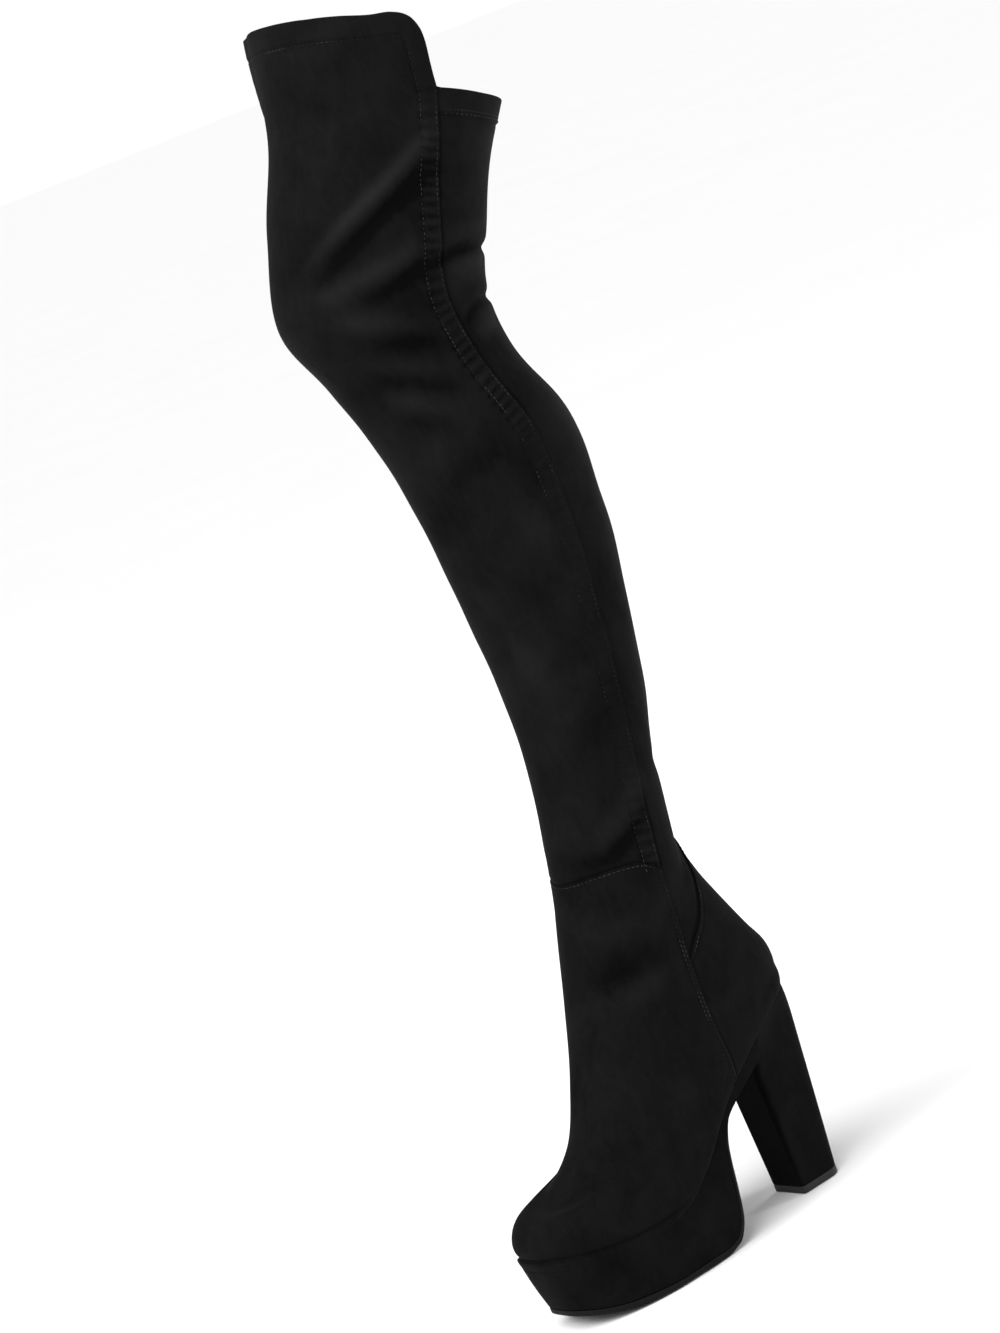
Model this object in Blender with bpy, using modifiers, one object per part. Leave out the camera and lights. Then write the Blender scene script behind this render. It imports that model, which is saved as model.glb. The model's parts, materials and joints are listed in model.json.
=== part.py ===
"""Over-the-knee platform boot, left foot, standing empty on its sole.

Toe toward -Y, lateral side toward +X, floor at z = 0, origin on the floor under the heel lift.
Sizes below are in millimetres; u is the distance ahead of the heel's rear.
"""

import bmesh
import bpy
import numpy as np
from mathutils import Matrix, Vector

MM = 0.001
UP = np.array([0.0, 0.0, 1.0])
ORIGIN_U = 30.0
WALL = 1.8
GAP = 0.3
SEAT_GAP = 0.6

# One row per section of the upper, feather line to collar. front and back are distances ahead of
# the heel's rear, with their heights; ball, waist and heel are half-widths of the three regions;
# follow is how far the row runs parallel to the sole instead of flat.
ROW_NAMES = ("front", "front_z", "back", "back_z", "ball", "waist", "heel", "follow")
ROWS = {
    "feather": (222, 40, 4, 121, 41, 30, 33, 1.00),
    "bite": (226, 46, 3, 129, 43, 33, 35, 0.97),
    "toe_side": (226, 54, 3.5, 139, 43, 36, 37, 0.88),
    "toe_box": (216, 66, 6.5, 151, 40, 37, 38, 0.74),
    "vamp": (196, 71, 12, 163, 36, 37, 38, 0.58),
    "throat": (174, 86, 18.5, 177, 34, 37, 38, 0.42),
    "instep": (154, 122, 25, 192, 34, 37, 38, 0.25),
    "bend": (139, 162, 31, 208, 35, 36, 37, 0.10),
    "ankle": (121, 215, 36, 229, 37, 37, 37, 0.0),
    "shin_low": (107, 270, 31, 275, 37, 37, 37, 0.0),
    "shin": (99, 330, 18, 325, 40, 40, 40, 0.0),
    "calf_low": (100, 385, 8, 375, 45, 45, 45, 0.0),
    "calf": (104, 440, 0, 430, 49, 49, 49, 0.0),
    "calf_high": (112, 495, 0, 482, 51, 51, 51, 0.0),
    "under_knee": (128, 545, 21.5, 535, 52, 52, 52, 0.0),
    "knee": (145, 590, 22, 570, 56, 56, 56, 0.0),
    "over_knee": (128, 642, 7, 602, 60, 60, 60, 0.0),
    "thigh": (102, 697, -11, 635, 62, 62, 62, 0.0),
    "collar": (90, 754, -38, 668, 67, 67, 67, 0.0),
}

# The collar's edge: degrees from the front, and its place above or below the last row.
COLLAR_EDGE = (
    (0, -2), (30, -3), (50, -1), (68, 1), (74, 0), (79, -3), (84, -14), (87, -27), (90, -29.5),
    (120, -23), (150, -15), (180, -10),
)

# Height of the feather line along the foot, and of the sole's underside.
FEATHER = (
    (-5, 125), (0, 123), (25, 114), (50, 103), (75, 90), (90, 81), (105, 69),
    (120, 55), (135, 44.5), (150, 39.5), (170, 37), (190, 37), (210, 39), (228, 42),
)
UNDERSIDE = (
    (40, 97), (60, 90), (75, 83), (90, 75), (98, 69), (103, 62), (107, 53), (110, 38),
    (114, 19), (120, 7), (130, 1.2), (145, 0), (175, 0), (200, 4), (226, 12),
)
# Outsole thickness, thin along the waist.
OUTSOLE = ((40, 2.0), (95, 2.0), (112, 2.6), (130, 4.0), (230, 4.0))

BREAST_U = 50.0
TIP_BACK, TIP_FRONT, TIP_HALF = 14.0, 46.0, 15.4
LIFT = 4.5
INSOLE, INSOLE_INSET = 2.5, 2.6
ROUNDED_EDGE = 2.2

# The zip's line on the medial side, and its sizes.
ZIP_LINE = (
    (92, 101), (108, 95), (130, 91), (160, 91), (190, 88), (220, 82), (250, 74),
    (280, 66), (300, 61), (330, 58), (360, 57),
)
ZIP_FOOT, ZIP_TOP, SLIDER_Z = 93.0, 342.0, 327.0
SLOT_HALF, TAPE_HALF, CHAIN_HALF = 4.5, 10.0, 2.9
# Depths of the tape and the chain from the upper's surface, outer face first.
TAPE_DEPTH = (-2.5, -3.3)
CHAIN_DEPTH = (0.2, -1.8)
SLIDER_HALF, SLIDER_RISE = 5.6, 7.5
SLIDER_OUT = (0.7, 3.1)
BRIDGE_SPAN, BRIDGE_OUT, BRIDGE_WIDTH = (2.7, 4.2), 6.6, 3.0
# The pull: its bar's distance out and thickness, half-widths of neck, eye, frame and window, and
# how far below the bar its shoulder, window top, window foot and end lie.
PIN_OUT, PULL_BAR = 4.6, 1.2
PULL_HALF = (3.9, 2.5, 6.3, 4.3)
PULL_DOWN = (5.9, 8.4, 23.4, 26.0)

# Grid of the upper: rows round the foot, angles of the lateral side, and the medial side's points
# as shares of the way from the toe to the zip and from the zip to the heel.
FOOT_ROWS = (0, 4, 8, 12, 17, 24, 31, 40, 50, 61, 73, 86)
LATERAL_TURN = (
    0, 4, 9, 15, 22, 30, 38, 46, 54, 62, 69, 75, 80, 84, 88, 94, 102, 110, 118, 127, 136, 145, 154,
    163, 171, 180,
)
AHEAD_OF_ZIP = (0.05, 0.10, 0.17, 0.26, 0.35, 0.44, 0.53, 0.63, 0.72, 0.81, 0.91, 1.0)
BEHIND_ZIP = (0.0, 0.085, 0.18, 0.28, 0.38, 0.49, 0.60, 0.70, 0.81, 0.915)


def curve(table, value, at):
    """Smooth curve through a table's points."""
    knots = np.asarray(table, float)
    level = np.asarray(value, float)
    at = np.asarray(at, float)
    slope = np.gradient(level, knots)
    i = np.clip(np.searchsorted(knots, at, side="right") - 1, 0, len(knots) - 2)
    step = knots[i + 1] - knots[i]
    t = (at - knots[i]) / step
    near = (2 * t**3 - 3 * t**2 + 1) * level[i] + (t**3 - 2 * t**2 + t) * step * slope[i]
    far = (3 * t**2 - 2 * t**3) * level[i + 1] + (t**3 - t**2) * step * slope[i + 1]
    return near + far


def along(table, u):
    points = np.array(table, float)
    return curve(points[:, 0], points[:, 1], np.clip(u, points[0, 0], points[-1, 0]))


SECTIONS = np.array(list(ROWS.values()), float)
RISE = np.hypot(np.diff(SECTIONS[:, 0]), np.diff(SECTIONS[:, 1]))
RISE = (RISE + np.hypot(np.diff(SECTIONS[:, 2]), np.diff(SECTIONS[:, 3]))) / 2
KNOTS = np.concatenate([[0], np.cumsum(RISE)])
HEIGHT = KNOTS[-1]


def feather(u, x=0.0):
    """Height of the feather line: the arch sits higher on the medial side."""
    return along(FEATHER, u + 0.30 * np.exp(-(((u - 95) / 38.0) ** 2)) * x)


SECTIONS[0, 1] = feather(SECTIONS[0, 0])
SECTIONS[0, 3] = feather(SECTIONS[0, 2])


def underside(u, x=0.0, inset=None):
    """Height of the sole's underside, or of a surface set in from it."""
    table = np.array(UNDERSIDE, float)
    if inset is not None:
        du, dz = np.gradient(table[:, 0]), np.gradient(table[:, 1])
        size = np.hypot(du, dz)
        depth = inset(table[:, 0])
        table = table + np.stack([-dz / size * depth, du / size * depth], 1)
    return along(table, u + 0.42 * x * np.clip((190 - u) / 60, 0, 1))


def upper(a, v):
    """Outer surface. a: 0 at the toe, 90 degrees lateral, 180 at the heel. v: way up, 0 to HEIGHT."""
    a, v = np.broadcast_arrays(np.asarray(a, float), np.asarray(v, float))
    row = {name: curve(KNOTS, SECTIONS[:, i], v) for i, name in enumerate(ROW_NAMES)}
    follow = np.clip(row["follow"], 0, 1)
    foot = follow**0.5
    ahead, turn = np.cos(a), np.sin(a)
    side = np.sign(turn) * np.abs(turn) ** (1 - 0.4 * foot)
    u = (row["front"] + row["back"]) / 2 + (row["front"] - row["back"]) / 2 * ahead
    lateral = 0.5 + 0.5 * turn
    at_heel = 1 / (1 + np.exp((ahead + 0.42) / 0.10))
    at_ball = 1 / (1 + np.exp((0.12 - ahead) / 0.10))
    at_waist = 1 - at_heel - at_ball
    half = at_heel * row["heel"] + at_waist * row["waist"] * (1 + (0.16 * lateral - 0.10) * foot)
    half = half + at_ball * row["ball"] * (1 + (0.05 * lateral - 0.02) * foot)
    x = half * side - 6 * np.clip((u - 80) / 145, 0, None) ** 2 * foot
    flat = (row["front_z"] + row["back_z"]) / 2 + (row["front_z"] - row["back_z"]) / 2 * ahead
    share = (ahead + 1) / 2
    low = feather(u, x) + (row["front_z"] - feather(row["front"])) * share
    low = low + (row["back_z"] - feather(row["back"])) * (1 - share)
    return np.stack([x, u, flat * (1 - follow) + low * follow], -1)


def normal(a, v):
    """Outward unit normal of the upper."""
    step = 1e-3
    across = upper(a + step, v) - upper(a - step, v)
    up = upper(a, np.clip(v + 0.5, 0, HEIGHT)) - upper(a, np.clip(v - 0.5, 0, HEIGHT))
    out = np.cross(up, across)
    return out / np.linalg.norm(out, axis=-1, keepdims=True)


def collar(a):
    """Way up of the collar's edge: a high front panel, and a back panel 30 mm lower."""
    turn = np.degrees(np.abs(np.arctan2(np.sin(a), np.cos(a))))
    edge = np.array(COLLAR_EDGE, float)
    return HEIGHT + np.interp(turn, edge[:, 0], edge[:, 1])


def zip_angle(v):
    """Where the zip's line crosses the row at way up v."""
    table = np.array(ZIP_LINE, float)
    angles = np.radians(np.linspace(-140, -40, 401))
    found = []
    for level in np.atleast_1d(v):
        ring = upper(angles, level)
        miss = ring[:, 1] - along(table, ring[:, 2])
        found.append(np.interp(0, miss, angles))
    return np.array(found)


def width_step(a, v):
    """Millimetres along the row for one radian."""
    return np.linalg.norm(upper(a + 0.01, v) - upper(a - 0.01, v), axis=-1) / 0.02


def way_up(a, height):
    """Way up at which the column a reaches a height."""
    v = np.linspace(0, HEIGHT, 1200)
    column = upper(np.full_like(v, a), v)
    return float(np.interp(height, column[:, 2], v))


def world(points):
    """Boot millimetres to world metres."""
    p = np.asarray(points, float)
    return np.stack([p[..., 0], ORIGIN_U - p[..., 1], p[..., 2]], -1) * MM


def material(name, colour, roughness, metallic=0.0):
    made = bpy.data.materials.new(name)
    made.use_nodes = True
    shader = made.node_tree.nodes["Principled BSDF"]
    shader.inputs["Base Color"].default_value = (*colour, 1)
    shader.inputs["Roughness"].default_value = roughness
    shader.inputs["Metallic"].default_value = metallic
    return made


def add(name, verts, faces, look):
    """One closed or open mesh as a named object, its faces turned outward."""
    mesh = bpy.data.meshes.new(name)
    mesh.from_pydata([tuple(p) for p in world(verts)], [], faces)
    shape = bmesh.new()
    shape.from_mesh(mesh)
    bmesh.ops.remove_doubles(shape, verts=shape.verts, dist=1e-6)
    bmesh.ops.recalc_face_normals(shape, faces=shape.faces)
    shape.to_mesh(mesh)
    shape.free()
    obj = bpy.data.objects.new(name, mesh)
    obj.data.materials.append(look)
    BOOT.objects.link(obj)
    return obj


def grid_faces(rows, columns, start=0):
    faces = []
    for i in range(rows - 1):
        for j in range(columns - 1):
            at = start + i * columns + j
            faces.append((at, at + 1, at + columns + 1, at + columns))
    return faces


def edge_loop(rows, columns, start=0):
    """Vertices around a grid's edge, in order."""
    loop = [start + j for j in range(columns)]
    loop += [start + i * columns + columns - 1 for i in range(1, rows)]
    loop += [start + (rows - 1) * columns + j for j in range(columns - 2, -1, -1)]
    loop += [start + i * columns for i in range(rows - 2, 0, -1)]
    return loop


def slab(name, top, bottom, look):
    """A solid between two grids of the same size."""
    rows, columns = top.shape[:2]
    count = rows * columns
    faces = grid_faces(rows, columns) + grid_faces(rows, columns, count)
    first, second = edge_loop(rows, columns), edge_loop(rows, columns, count)
    for i, at in enumerate(first):
        after = (i + 1) % len(first)
        faces.append((at, first[after], second[after], second[i]))
    return add(name, np.concatenate([top.reshape(-1, 3), bottom.reshape(-1, 3)]), faces, look)


def outline(stations, grow):
    """Lateral and medial points of the feather line at each u, moved outward by grow."""
    front, back = SECTIONS[0, 0], SECTIONS[0, 2]
    a = np.arccos(np.clip((2 * np.asarray(stations, float) - front - back) / (front - back), -1, 1))
    sides = []
    for sign in (1, -1):
        here = upper(sign * a, 0.0)[:, :2]
        ahead = upper(sign * (a + 1e-3), 0.0)[:, :2] - upper(sign * (a - 1e-3), 0.0)[:, :2]
        out = np.stack([ahead[:, 1], -ahead[:, 0]], 1) * -sign
        out = out / np.linalg.norm(out, axis=1, keepdims=True)
        sides.append(here + out * np.reshape(grow, (-1, 1)))
    return sides


def across(lateral, medial, columns):
    """Grid of points between the two sides."""
    share = np.linspace(0, 1, columns)[None, :, None]
    return lateral[:, None] * (1 - share) + medial[:, None] * share


def lay(plan, height):
    """Plan points given their height."""
    x, u = plan[..., 0], plan[..., 1]
    return np.stack([x, u, height(u, x)], -1)


FRONT_STATIONS = (
    84, 88, 91, 94, 97, 100, 103, 106, 109, 112, 115, 118, 122, 127, 133, 142, 155, 168,
    180, 190, 199, 206, 212, 216, 218.6, 220.4, 221.5,
)


WAIST_STATIONS = (BREAST_U + 0.6, 60, 70, 78)
INSOLE_STATIONS = (7, 8.5, 11, 15, 20, 27, 34, 42) + WAIST_STATIONS


def sole_plan(columns=9):
    """Plan of the sole unit: its top edge, and its narrower bottom edge."""
    stations = np.array(WAIST_STATIONS + FRONT_STATIONS, float)
    grow = 1.8 * np.clip((stations - 100) / 50, 0, 1) - 0.4 * np.clip((110 - stations) / 30, 0, 1)
    top = across(*outline(stations, grow), columns)
    slim = 1 - 0.12 * np.clip((stations - 105) / 40, 0, 1)
    bottom = top.copy()
    bottom[..., 0] *= slim[:, None]
    bottom[..., 1] -= (5.5 * np.clip((stations - 150) / 71, 0, 1))[:, None]
    return top, bottom


def outsole_depth(u):
    return along(OUTSOLE, u)


def platform_depth(u):
    """The platform's underside lies above the outsole, with more room round the tight bend of the waist."""
    return outsole_depth(u) + GAP * (1.6 + 2.0 * np.exp(-(((u - 108) / 12) ** 2)))


def build_sole():
    top, bottom = sole_plan()
    deck = lay(top, lambda u, x: feather(u, x) - SEAT_GAP - 0.6 * np.exp(-(((u - 100) / 25) ** 2)))
    belly = lay(bottom, lambda u, x: underside(u, x, platform_depth))
    belly[..., 2] = np.minimum(belly[..., 2], deck[..., 2] - 2.0)
    slab("platform", deck, belly, SUEDE)
    tread = bottom.copy()
    tread[..., 0] *= 0.985
    upper_face = lay(bottom, lambda u, x: underside(u, x, outsole_depth))
    upper_face[..., 2] = np.minimum(upper_face[..., 2], belly[..., 2] - GAP)
    lower_face = lay(tread, underside)
    lower_face[..., 2] = np.minimum(lower_face[..., 2], upper_face[..., 2] - 1.2)
    # The curve dips a little between its points: the ball lies level on the floor.
    lower_face[..., 2] = np.maximum(lower_face[..., 2], 0)
    edge = np.clip((np.abs(np.linspace(-1, 1, tread.shape[1])) - 0.6) / 0.4, 0, 1) ** 2
    ball = np.clip((tread[..., 1] - 120) / 25, 0, 1)
    lower_face[..., 2] += ROUNDED_EDGE * edge * ball
    slab("outsole", upper_face, lower_face, RUBBER)


def build_insole():
    stations = INSOLE_STATIONS + FRONT_STATIONS[:-3] + (218.0,)
    plan = across(*outline(stations, np.full(len(stations), -INSOLE_INSET)), 9)
    low = lay(plan, lambda u, x: feather(u, x) + GAP / 2)
    slab("insole", low + np.array([0, 0, INSOLE]), low, LINING)


def path_points(path, count):
    """Points evenly spaced along a plan path."""
    path = np.array(path, float)
    run = np.concatenate([[0], np.cumsum(np.linalg.norm(np.diff(path, axis=0), axis=1))])
    at = np.linspace(0, run[-1], count)
    return np.stack([np.interp(at, run, path[:, i]) for i in range(2)], 1)


SIDE_COUNT, BREAST_COUNT = 16, 2


def tip_half():
    """Half of the heel tip's outline: rear centre, around the side, to the middle of the breast."""
    turn = np.radians(np.linspace(-90, 0, 9))
    rear, front = 10.0, 2.5
    arc = [(TIP_HALF - rear + rear * np.cos(t), TIP_BACK + rear + rear * np.sin(t)) for t in turn]
    corner = [
        (TIP_HALF, TIP_FRONT - front),
        (TIP_HALF - 0.3 * front, TIP_FRONT - 0.3 * front),
        (TIP_HALF - front, TIP_FRONT),
    ]
    side = path_points([(0, TIP_BACK)] + arc + corner, SIDE_COUNT)
    breast = path_points([side[-1], (0, TIP_FRONT)], BREAST_COUNT + 1)
    return np.concatenate([side, breast[1:]])


def seat_half(sign):
    """Half of the heel's top outline, just inside the feather line."""
    stations = np.concatenate([4.4 + 1.2 * np.linspace(0, 1, 8) ** 2, np.linspace(6, BREAST_U, 40)])
    ring = outline(stations, -0.9 * np.ones(len(stations)))[0 if sign > 0 else 1]
    ring = np.concatenate([[[0, ring[0, 1]]], ring])
    side = path_points(ring, SIDE_COUNT)
    breast = path_points([side[-1], (0, BREAST_U)], BREAST_COUNT + 1)
    return np.concatenate([side, breast[1:]])


def heel_ring(share):
    """Outline of the heel block at a share of its height, with its height at each point."""
    tip = tip_half()
    flare = np.clip((share - 0.68) / 0.32, 0, 1) ** 2.3
    halves = []
    for sign in (1, -1):
        low = tip * (sign, 1)
        middle = low.copy()
        middle[:, 0] *= 17.6 / TIP_HALF
        middle[:, 1] = 2 + (middle[:, 1] - TIP_BACK) * (BREAST_U - 2.0) / (TIP_FRONT - TIP_BACK)
        seat = seat_half(sign)
        plan = (low * (1 - share) + middle * share) * (1 - flare) + seat * flare
        floor = LIFT + GAP
        height = floor + (feather(plan[:, 1], plan[:, 0]) - SEAT_GAP - floor) * share
        halves.append(np.column_stack([plan, height]))
    return np.concatenate([halves[0], halves[1][-2:0:-1]])


def stack(name, rings, look, lid=None):
    """Solid through closed rings, its ends closed by rows of quads across."""
    count = len(rings[0])
    verts = np.concatenate(rings)
    faces = []
    for i in range(len(rings) - 1):
        for j in range(count):
            k = (j + 1) % count
            faces.append((i * count + j, i * count + k, (i + 1) * count + k, (i + 1) * count + j))
    last = (len(rings) - 1) * count
    verts, faces = cap(verts, faces, 0, count, None)
    verts, faces = cap(verts, faces, last, count, lid)
    return add(name, verts, faces, look)


def cap(verts, faces, start, count, height):
    """Rows of quads from side to side of a ring whose first point is its rear centre."""
    extra = list(verts)
    previous = None
    for i in range(1, SIDE_COUNT - 1):
        left, right = start + i, start + count - i
        line = [left]
        for share in (0.25, 0.5, 0.75):
            point = np.array(extra[left]) * (1 - share) + np.array(extra[right]) * share
            if height is not None:
                point[2] = height(point[1], point[0])
            extra.append(point)
            line.append(len(extra) - 1)
        line.append(right)
        if previous is None:
            faces += [(start, line[j], line[j + 1]) for j in range(4)]
        else:
            faces += [(previous[j], previous[j + 1], line[j + 1], line[j]) for j in range(4)]
        previous = line
    last = [start + SIDE_COUNT - 1 + j for j in range(5)]
    faces += [(previous[j], previous[j + 1], last[j + 1], last[j]) for j in range(4)]
    return np.array(extra), faces


def build_heel():
    shares = np.concatenate([np.linspace(0, 0.6, 6), np.linspace(0.68, 1, 7)])
    stack("heel", [heel_ring(share) for share in shares], SUEDE, lambda u, x: feather(u, x) - SEAT_GAP)
    tip = tip_half()
    rim = np.concatenate([tip, (tip * (-1, 1))[-2:0:-1]])
    level = np.ones(len(rim))
    stack("heel_lift", [np.column_stack([rim, 0 * level]), np.column_stack([rim, LIFT * level])], RUBBER)


def upper_rows():
    """Rows of the upper's grid, close together round the foot, with one at each end of the zip's slot."""
    shaft = np.linspace(100, HEIGHT - 36, 21)
    rows = np.concatenate([FOOT_ROWS, shaft, [HEIGHT - 22, HEIGHT - 11, HEIGHT]])
    foot, top = SLOT_RANGE
    clear = (np.abs(rows - foot) > 3) & (np.abs(rows - top) > 3)
    return np.sort(np.concatenate([rows[clear], SLOT_RANGE]))


def upper_columns(rows):
    """Angles of each row's points: the lateral side in order, then the medial side split by the slot."""
    top = SLOT_RANGE[1]
    table = []
    for v in rows:
        line = zip_angle(min(v, top + 40))[0]
        half = SLOT_HALF / width_step(line, v)
        ease = np.clip((v - top) / 120, 0, 1)
        line = line * (1 - ease) + np.radians(-87) * ease
        front_edge, back_edge = line + half, line - half
        ahead = front_edge * np.array(AHEAD_OF_ZIP)
        behind = back_edge + np.array(BEHIND_ZIP) * (-np.pi - back_edge)
        medial = np.concatenate([ahead, behind])[::-1] + 2 * np.pi
        table.append(np.concatenate([np.radians(LATERAL_TURN), medial]))
    return np.array(table)


def build_upper():
    """The upper as one surface with the zip's slot left open, thickened inward."""
    rows = upper_rows()
    table = upper_columns(rows)
    count = table.shape[1]
    slot_column = count - len(AHEAD_OF_ZIP) - 1
    ease = np.clip((rows - (HEIGHT - 110)) / 110, 0, 1)[:, None]
    height = rows[:, None] + (collar(table) - HEIGHT) * ease
    over = np.clip(height - HEIGHT, 0, None)
    points = upper(table, np.clip(height, 0, HEIGHT)) + over[..., None] * UP_AT_COLLAR
    faces = []
    for i in range(len(rows) - 1):
        in_slot = SLOT_RANGE[0] <= (rows[i] + rows[i + 1]) / 2 <= SLOT_RANGE[1]
        for j in range(count):
            if j == slot_column and in_slot:
                continue
            k = (j + 1) % count
            faces.append((i * count + j, i * count + k, (i + 1) * count + k, (i + 1) * count + j))
    shell = add("upper", points.reshape(-1, 3), faces, SUEDE).modifiers.new("wall", "SOLIDIFY")
    shell.thickness = WALL * MM
    shell.offset = -1
    shell.use_rim = True


def strip(name, levels, half, depths, columns):
    """A strip along the zip's line, between two depths under the upper's outer surface."""
    at = zip_angle(levels)
    step = width_step(at, levels)
    a = at[:, None] + np.linspace(-half, half, columns)[None, :] / step[:, None]
    v = np.broadcast_to(levels[:, None], a.shape)
    surface, out = upper(a, v), normal(a, v)
    slab(name, surface + out * depths[0], surface + out * depths[1], TAPE)


def placed(centre, along_x, along_y):
    """World matrix for a flat outline: a point on the boot, and its two axes in boot millimetres."""
    flip = np.array([1, -1, 1])
    x, y = Vector(along_x * flip), Vector(along_y * flip)
    turn = Matrix((x, y, x.cross(y))).transposed()
    return Matrix.Translation(Vector(world(centre))) @ turn.to_4x4()


def flat_outline(name, loops, thickness):
    """A plate from closed outlines, the first its edge and the rest its holes."""
    shape = bpy.data.curves.new(name, "CURVE")
    shape.dimensions = "2D"
    shape.fill_mode = "BOTH"
    shape.extrude = thickness / 2 * MM
    for loop in loops:
        spline = shape.splines.new("POLY")
        spline.points.add(len(loop) - 1)
        for point, (x, y) in zip(spline.points, loop):
            point.co = (x * MM, y * MM, 0, 1)
        spline.use_cyclic_u = True
    plate = bpy.data.objects.new(name, shape)
    BOOT.objects.link(plate)
    return plate


def as_mesh(plate, collection):
    """A curve object made a closed mesh in the same place."""
    bpy.context.view_layer.update()
    graph = bpy.context.evaluated_depsgraph_get()
    mesh = bpy.data.meshes.new_from_object(plate.evaluated_get(graph))
    shape = bmesh.new()
    shape.from_mesh(mesh)
    bmesh.ops.remove_doubles(shape, verts=shape.verts, dist=1e-6)
    bmesh.ops.recalc_face_normals(shape, faces=shape.faces)
    shape.to_mesh(mesh)
    shape.free()
    name, matrix = plate.name, plate.matrix_world.copy()
    bpy.data.objects.remove(plate)
    made = bpy.data.objects.new(name, mesh)
    made.matrix_world = matrix
    collection.objects.link(made)
    return made


def rectangle(half_width, low, high):
    return [(-half_width, low), (half_width, low), (half_width, high), (-half_width, high)]


def slider_frame():
    """Centre on the upper's surface, with fore-aft, upward and outward axes."""
    v = way_up(np.radians(-90), SLIDER_Z)
    a = zip_angle(v)[0]
    out = normal(a, v)
    fore = np.cross(out, UP)
    fore = fore / np.linalg.norm(fore)
    return upper(a, v), fore, np.cross(fore, out), out


def build_slider():
    """Slider body with a square bridge over the pull's bar."""
    centre, fore, rise, out = slider_frame()
    low, high = SLIDER_OUT
    inner, outer = BRIDGE_SPAN
    sunk = (low + high) / 2
    arch = [
        (-outer, sunk), (-outer, BRIDGE_OUT), (outer, BRIDGE_OUT), (outer, sunk),
        (inner, sunk), (inner, BRIDGE_OUT - 1), (-inner, BRIDGE_OUT - 1), (-inner, sunk),
    ]
    bridge = flat_outline("bridge", [arch], BRIDGE_WIDTH)
    bridge.matrix_world = placed(centre, rise, out)
    bridge = as_mesh(bridge, CUTTERS)
    bridge.hide_render = True
    slider = flat_outline("zip_slider", [rectangle(SLIDER_HALF, -SLIDER_RISE, SLIDER_RISE)], high - low)
    slider.matrix_world = placed(centre + out * sunk, fore, rise)
    slider = as_mesh(slider, BOOT)
    slider.data.materials.append(METAL)
    join = slider.modifiers.new("bridge", "BOOLEAN")
    join.operation = "UNION"
    join.object = bridge


def build_pull():
    """Framed tab that hangs from the slider's bridge. Its origin is on the bar that it turns about."""
    centre, fore, _, out = slider_frame()
    half = PULL_BAR / 2
    neck, eye, wide, window = PULL_HALF
    shoulder, sill, foot, end = PULL_DOWN
    edge = [
        (-neck, half), (-neck, -shoulder), (-wide, -shoulder), (-wide, -end),
        (wide, -end), (wide, -shoulder), (neck, -shoulder), (neck, half),
    ]
    holes = [rectangle(eye, -shoulder, -half), rectangle(window, -foot, -sill)]
    pull = flat_outline("zip_pull", [edge] + holes, PULL_BAR)
    pull.data.materials.append(METAL)
    pull.matrix_world = placed(centre + out * PIN_OUT, fore, UP)


for old in list(bpy.data.objects):
    bpy.data.objects.remove(old, do_unlink=True)
BOOT = bpy.data.collections.new("over_the_knee_boot")
bpy.context.scene.collection.children.link(BOOT)
CUTTERS = bpy.data.collections.new("cutters")
bpy.context.scene.collection.children.link(CUTTERS)

SUEDE = material("black_suede", (0.018, 0.017, 0.017), 0.9)
LINING = material("black_lining", (0.03, 0.03, 0.03), 0.7)
RUBBER = material("dark_rubber", (0.05, 0.05, 0.05), 0.6)
TAPE = material("black_tape", (0.02, 0.02, 0.02), 0.8)
METAL = material("dark_metal", (0.25, 0.25, 0.26), 0.3, 1.0)

UP_AT_COLLAR = (upper(0.9, HEIGHT) - upper(0.9, HEIGHT - 10)) / 10
LEVELS = np.linspace(10, 400, 200)
SLOT_RANGE = np.interp((ZIP_FOOT, ZIP_TOP), upper(zip_angle(LEVELS), LEVELS)[:, 2], LEVELS)

build_upper()
build_insole()
build_sole()
build_heel()
CHAIN = np.linspace(SLOT_RANGE[0] + 2, SLOT_RANGE[1] - 10, 26)
BAND = np.linspace(SLOT_RANGE[0] - 5, SLOT_RANGE[1] + 5, 26)
strip("zip_tape", BAND, TAPE_HALF, TAPE_DEPTH, 5)
strip("zip_chain", CHAIN, CHAIN_HALF, CHAIN_DEPTH, 3)
build_slider()
build_pull()
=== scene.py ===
"""Looks of the over-the-knee platform boot, left foot.

Sizes are in millimetres. u is the distance ahead of the heel's rear, x the lateral side, z up.
On the upper, a is the turn round the foot in degrees (0 at the toe, 90 on the lateral side) and v the
way up its surface from the feather line.
"""

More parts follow.
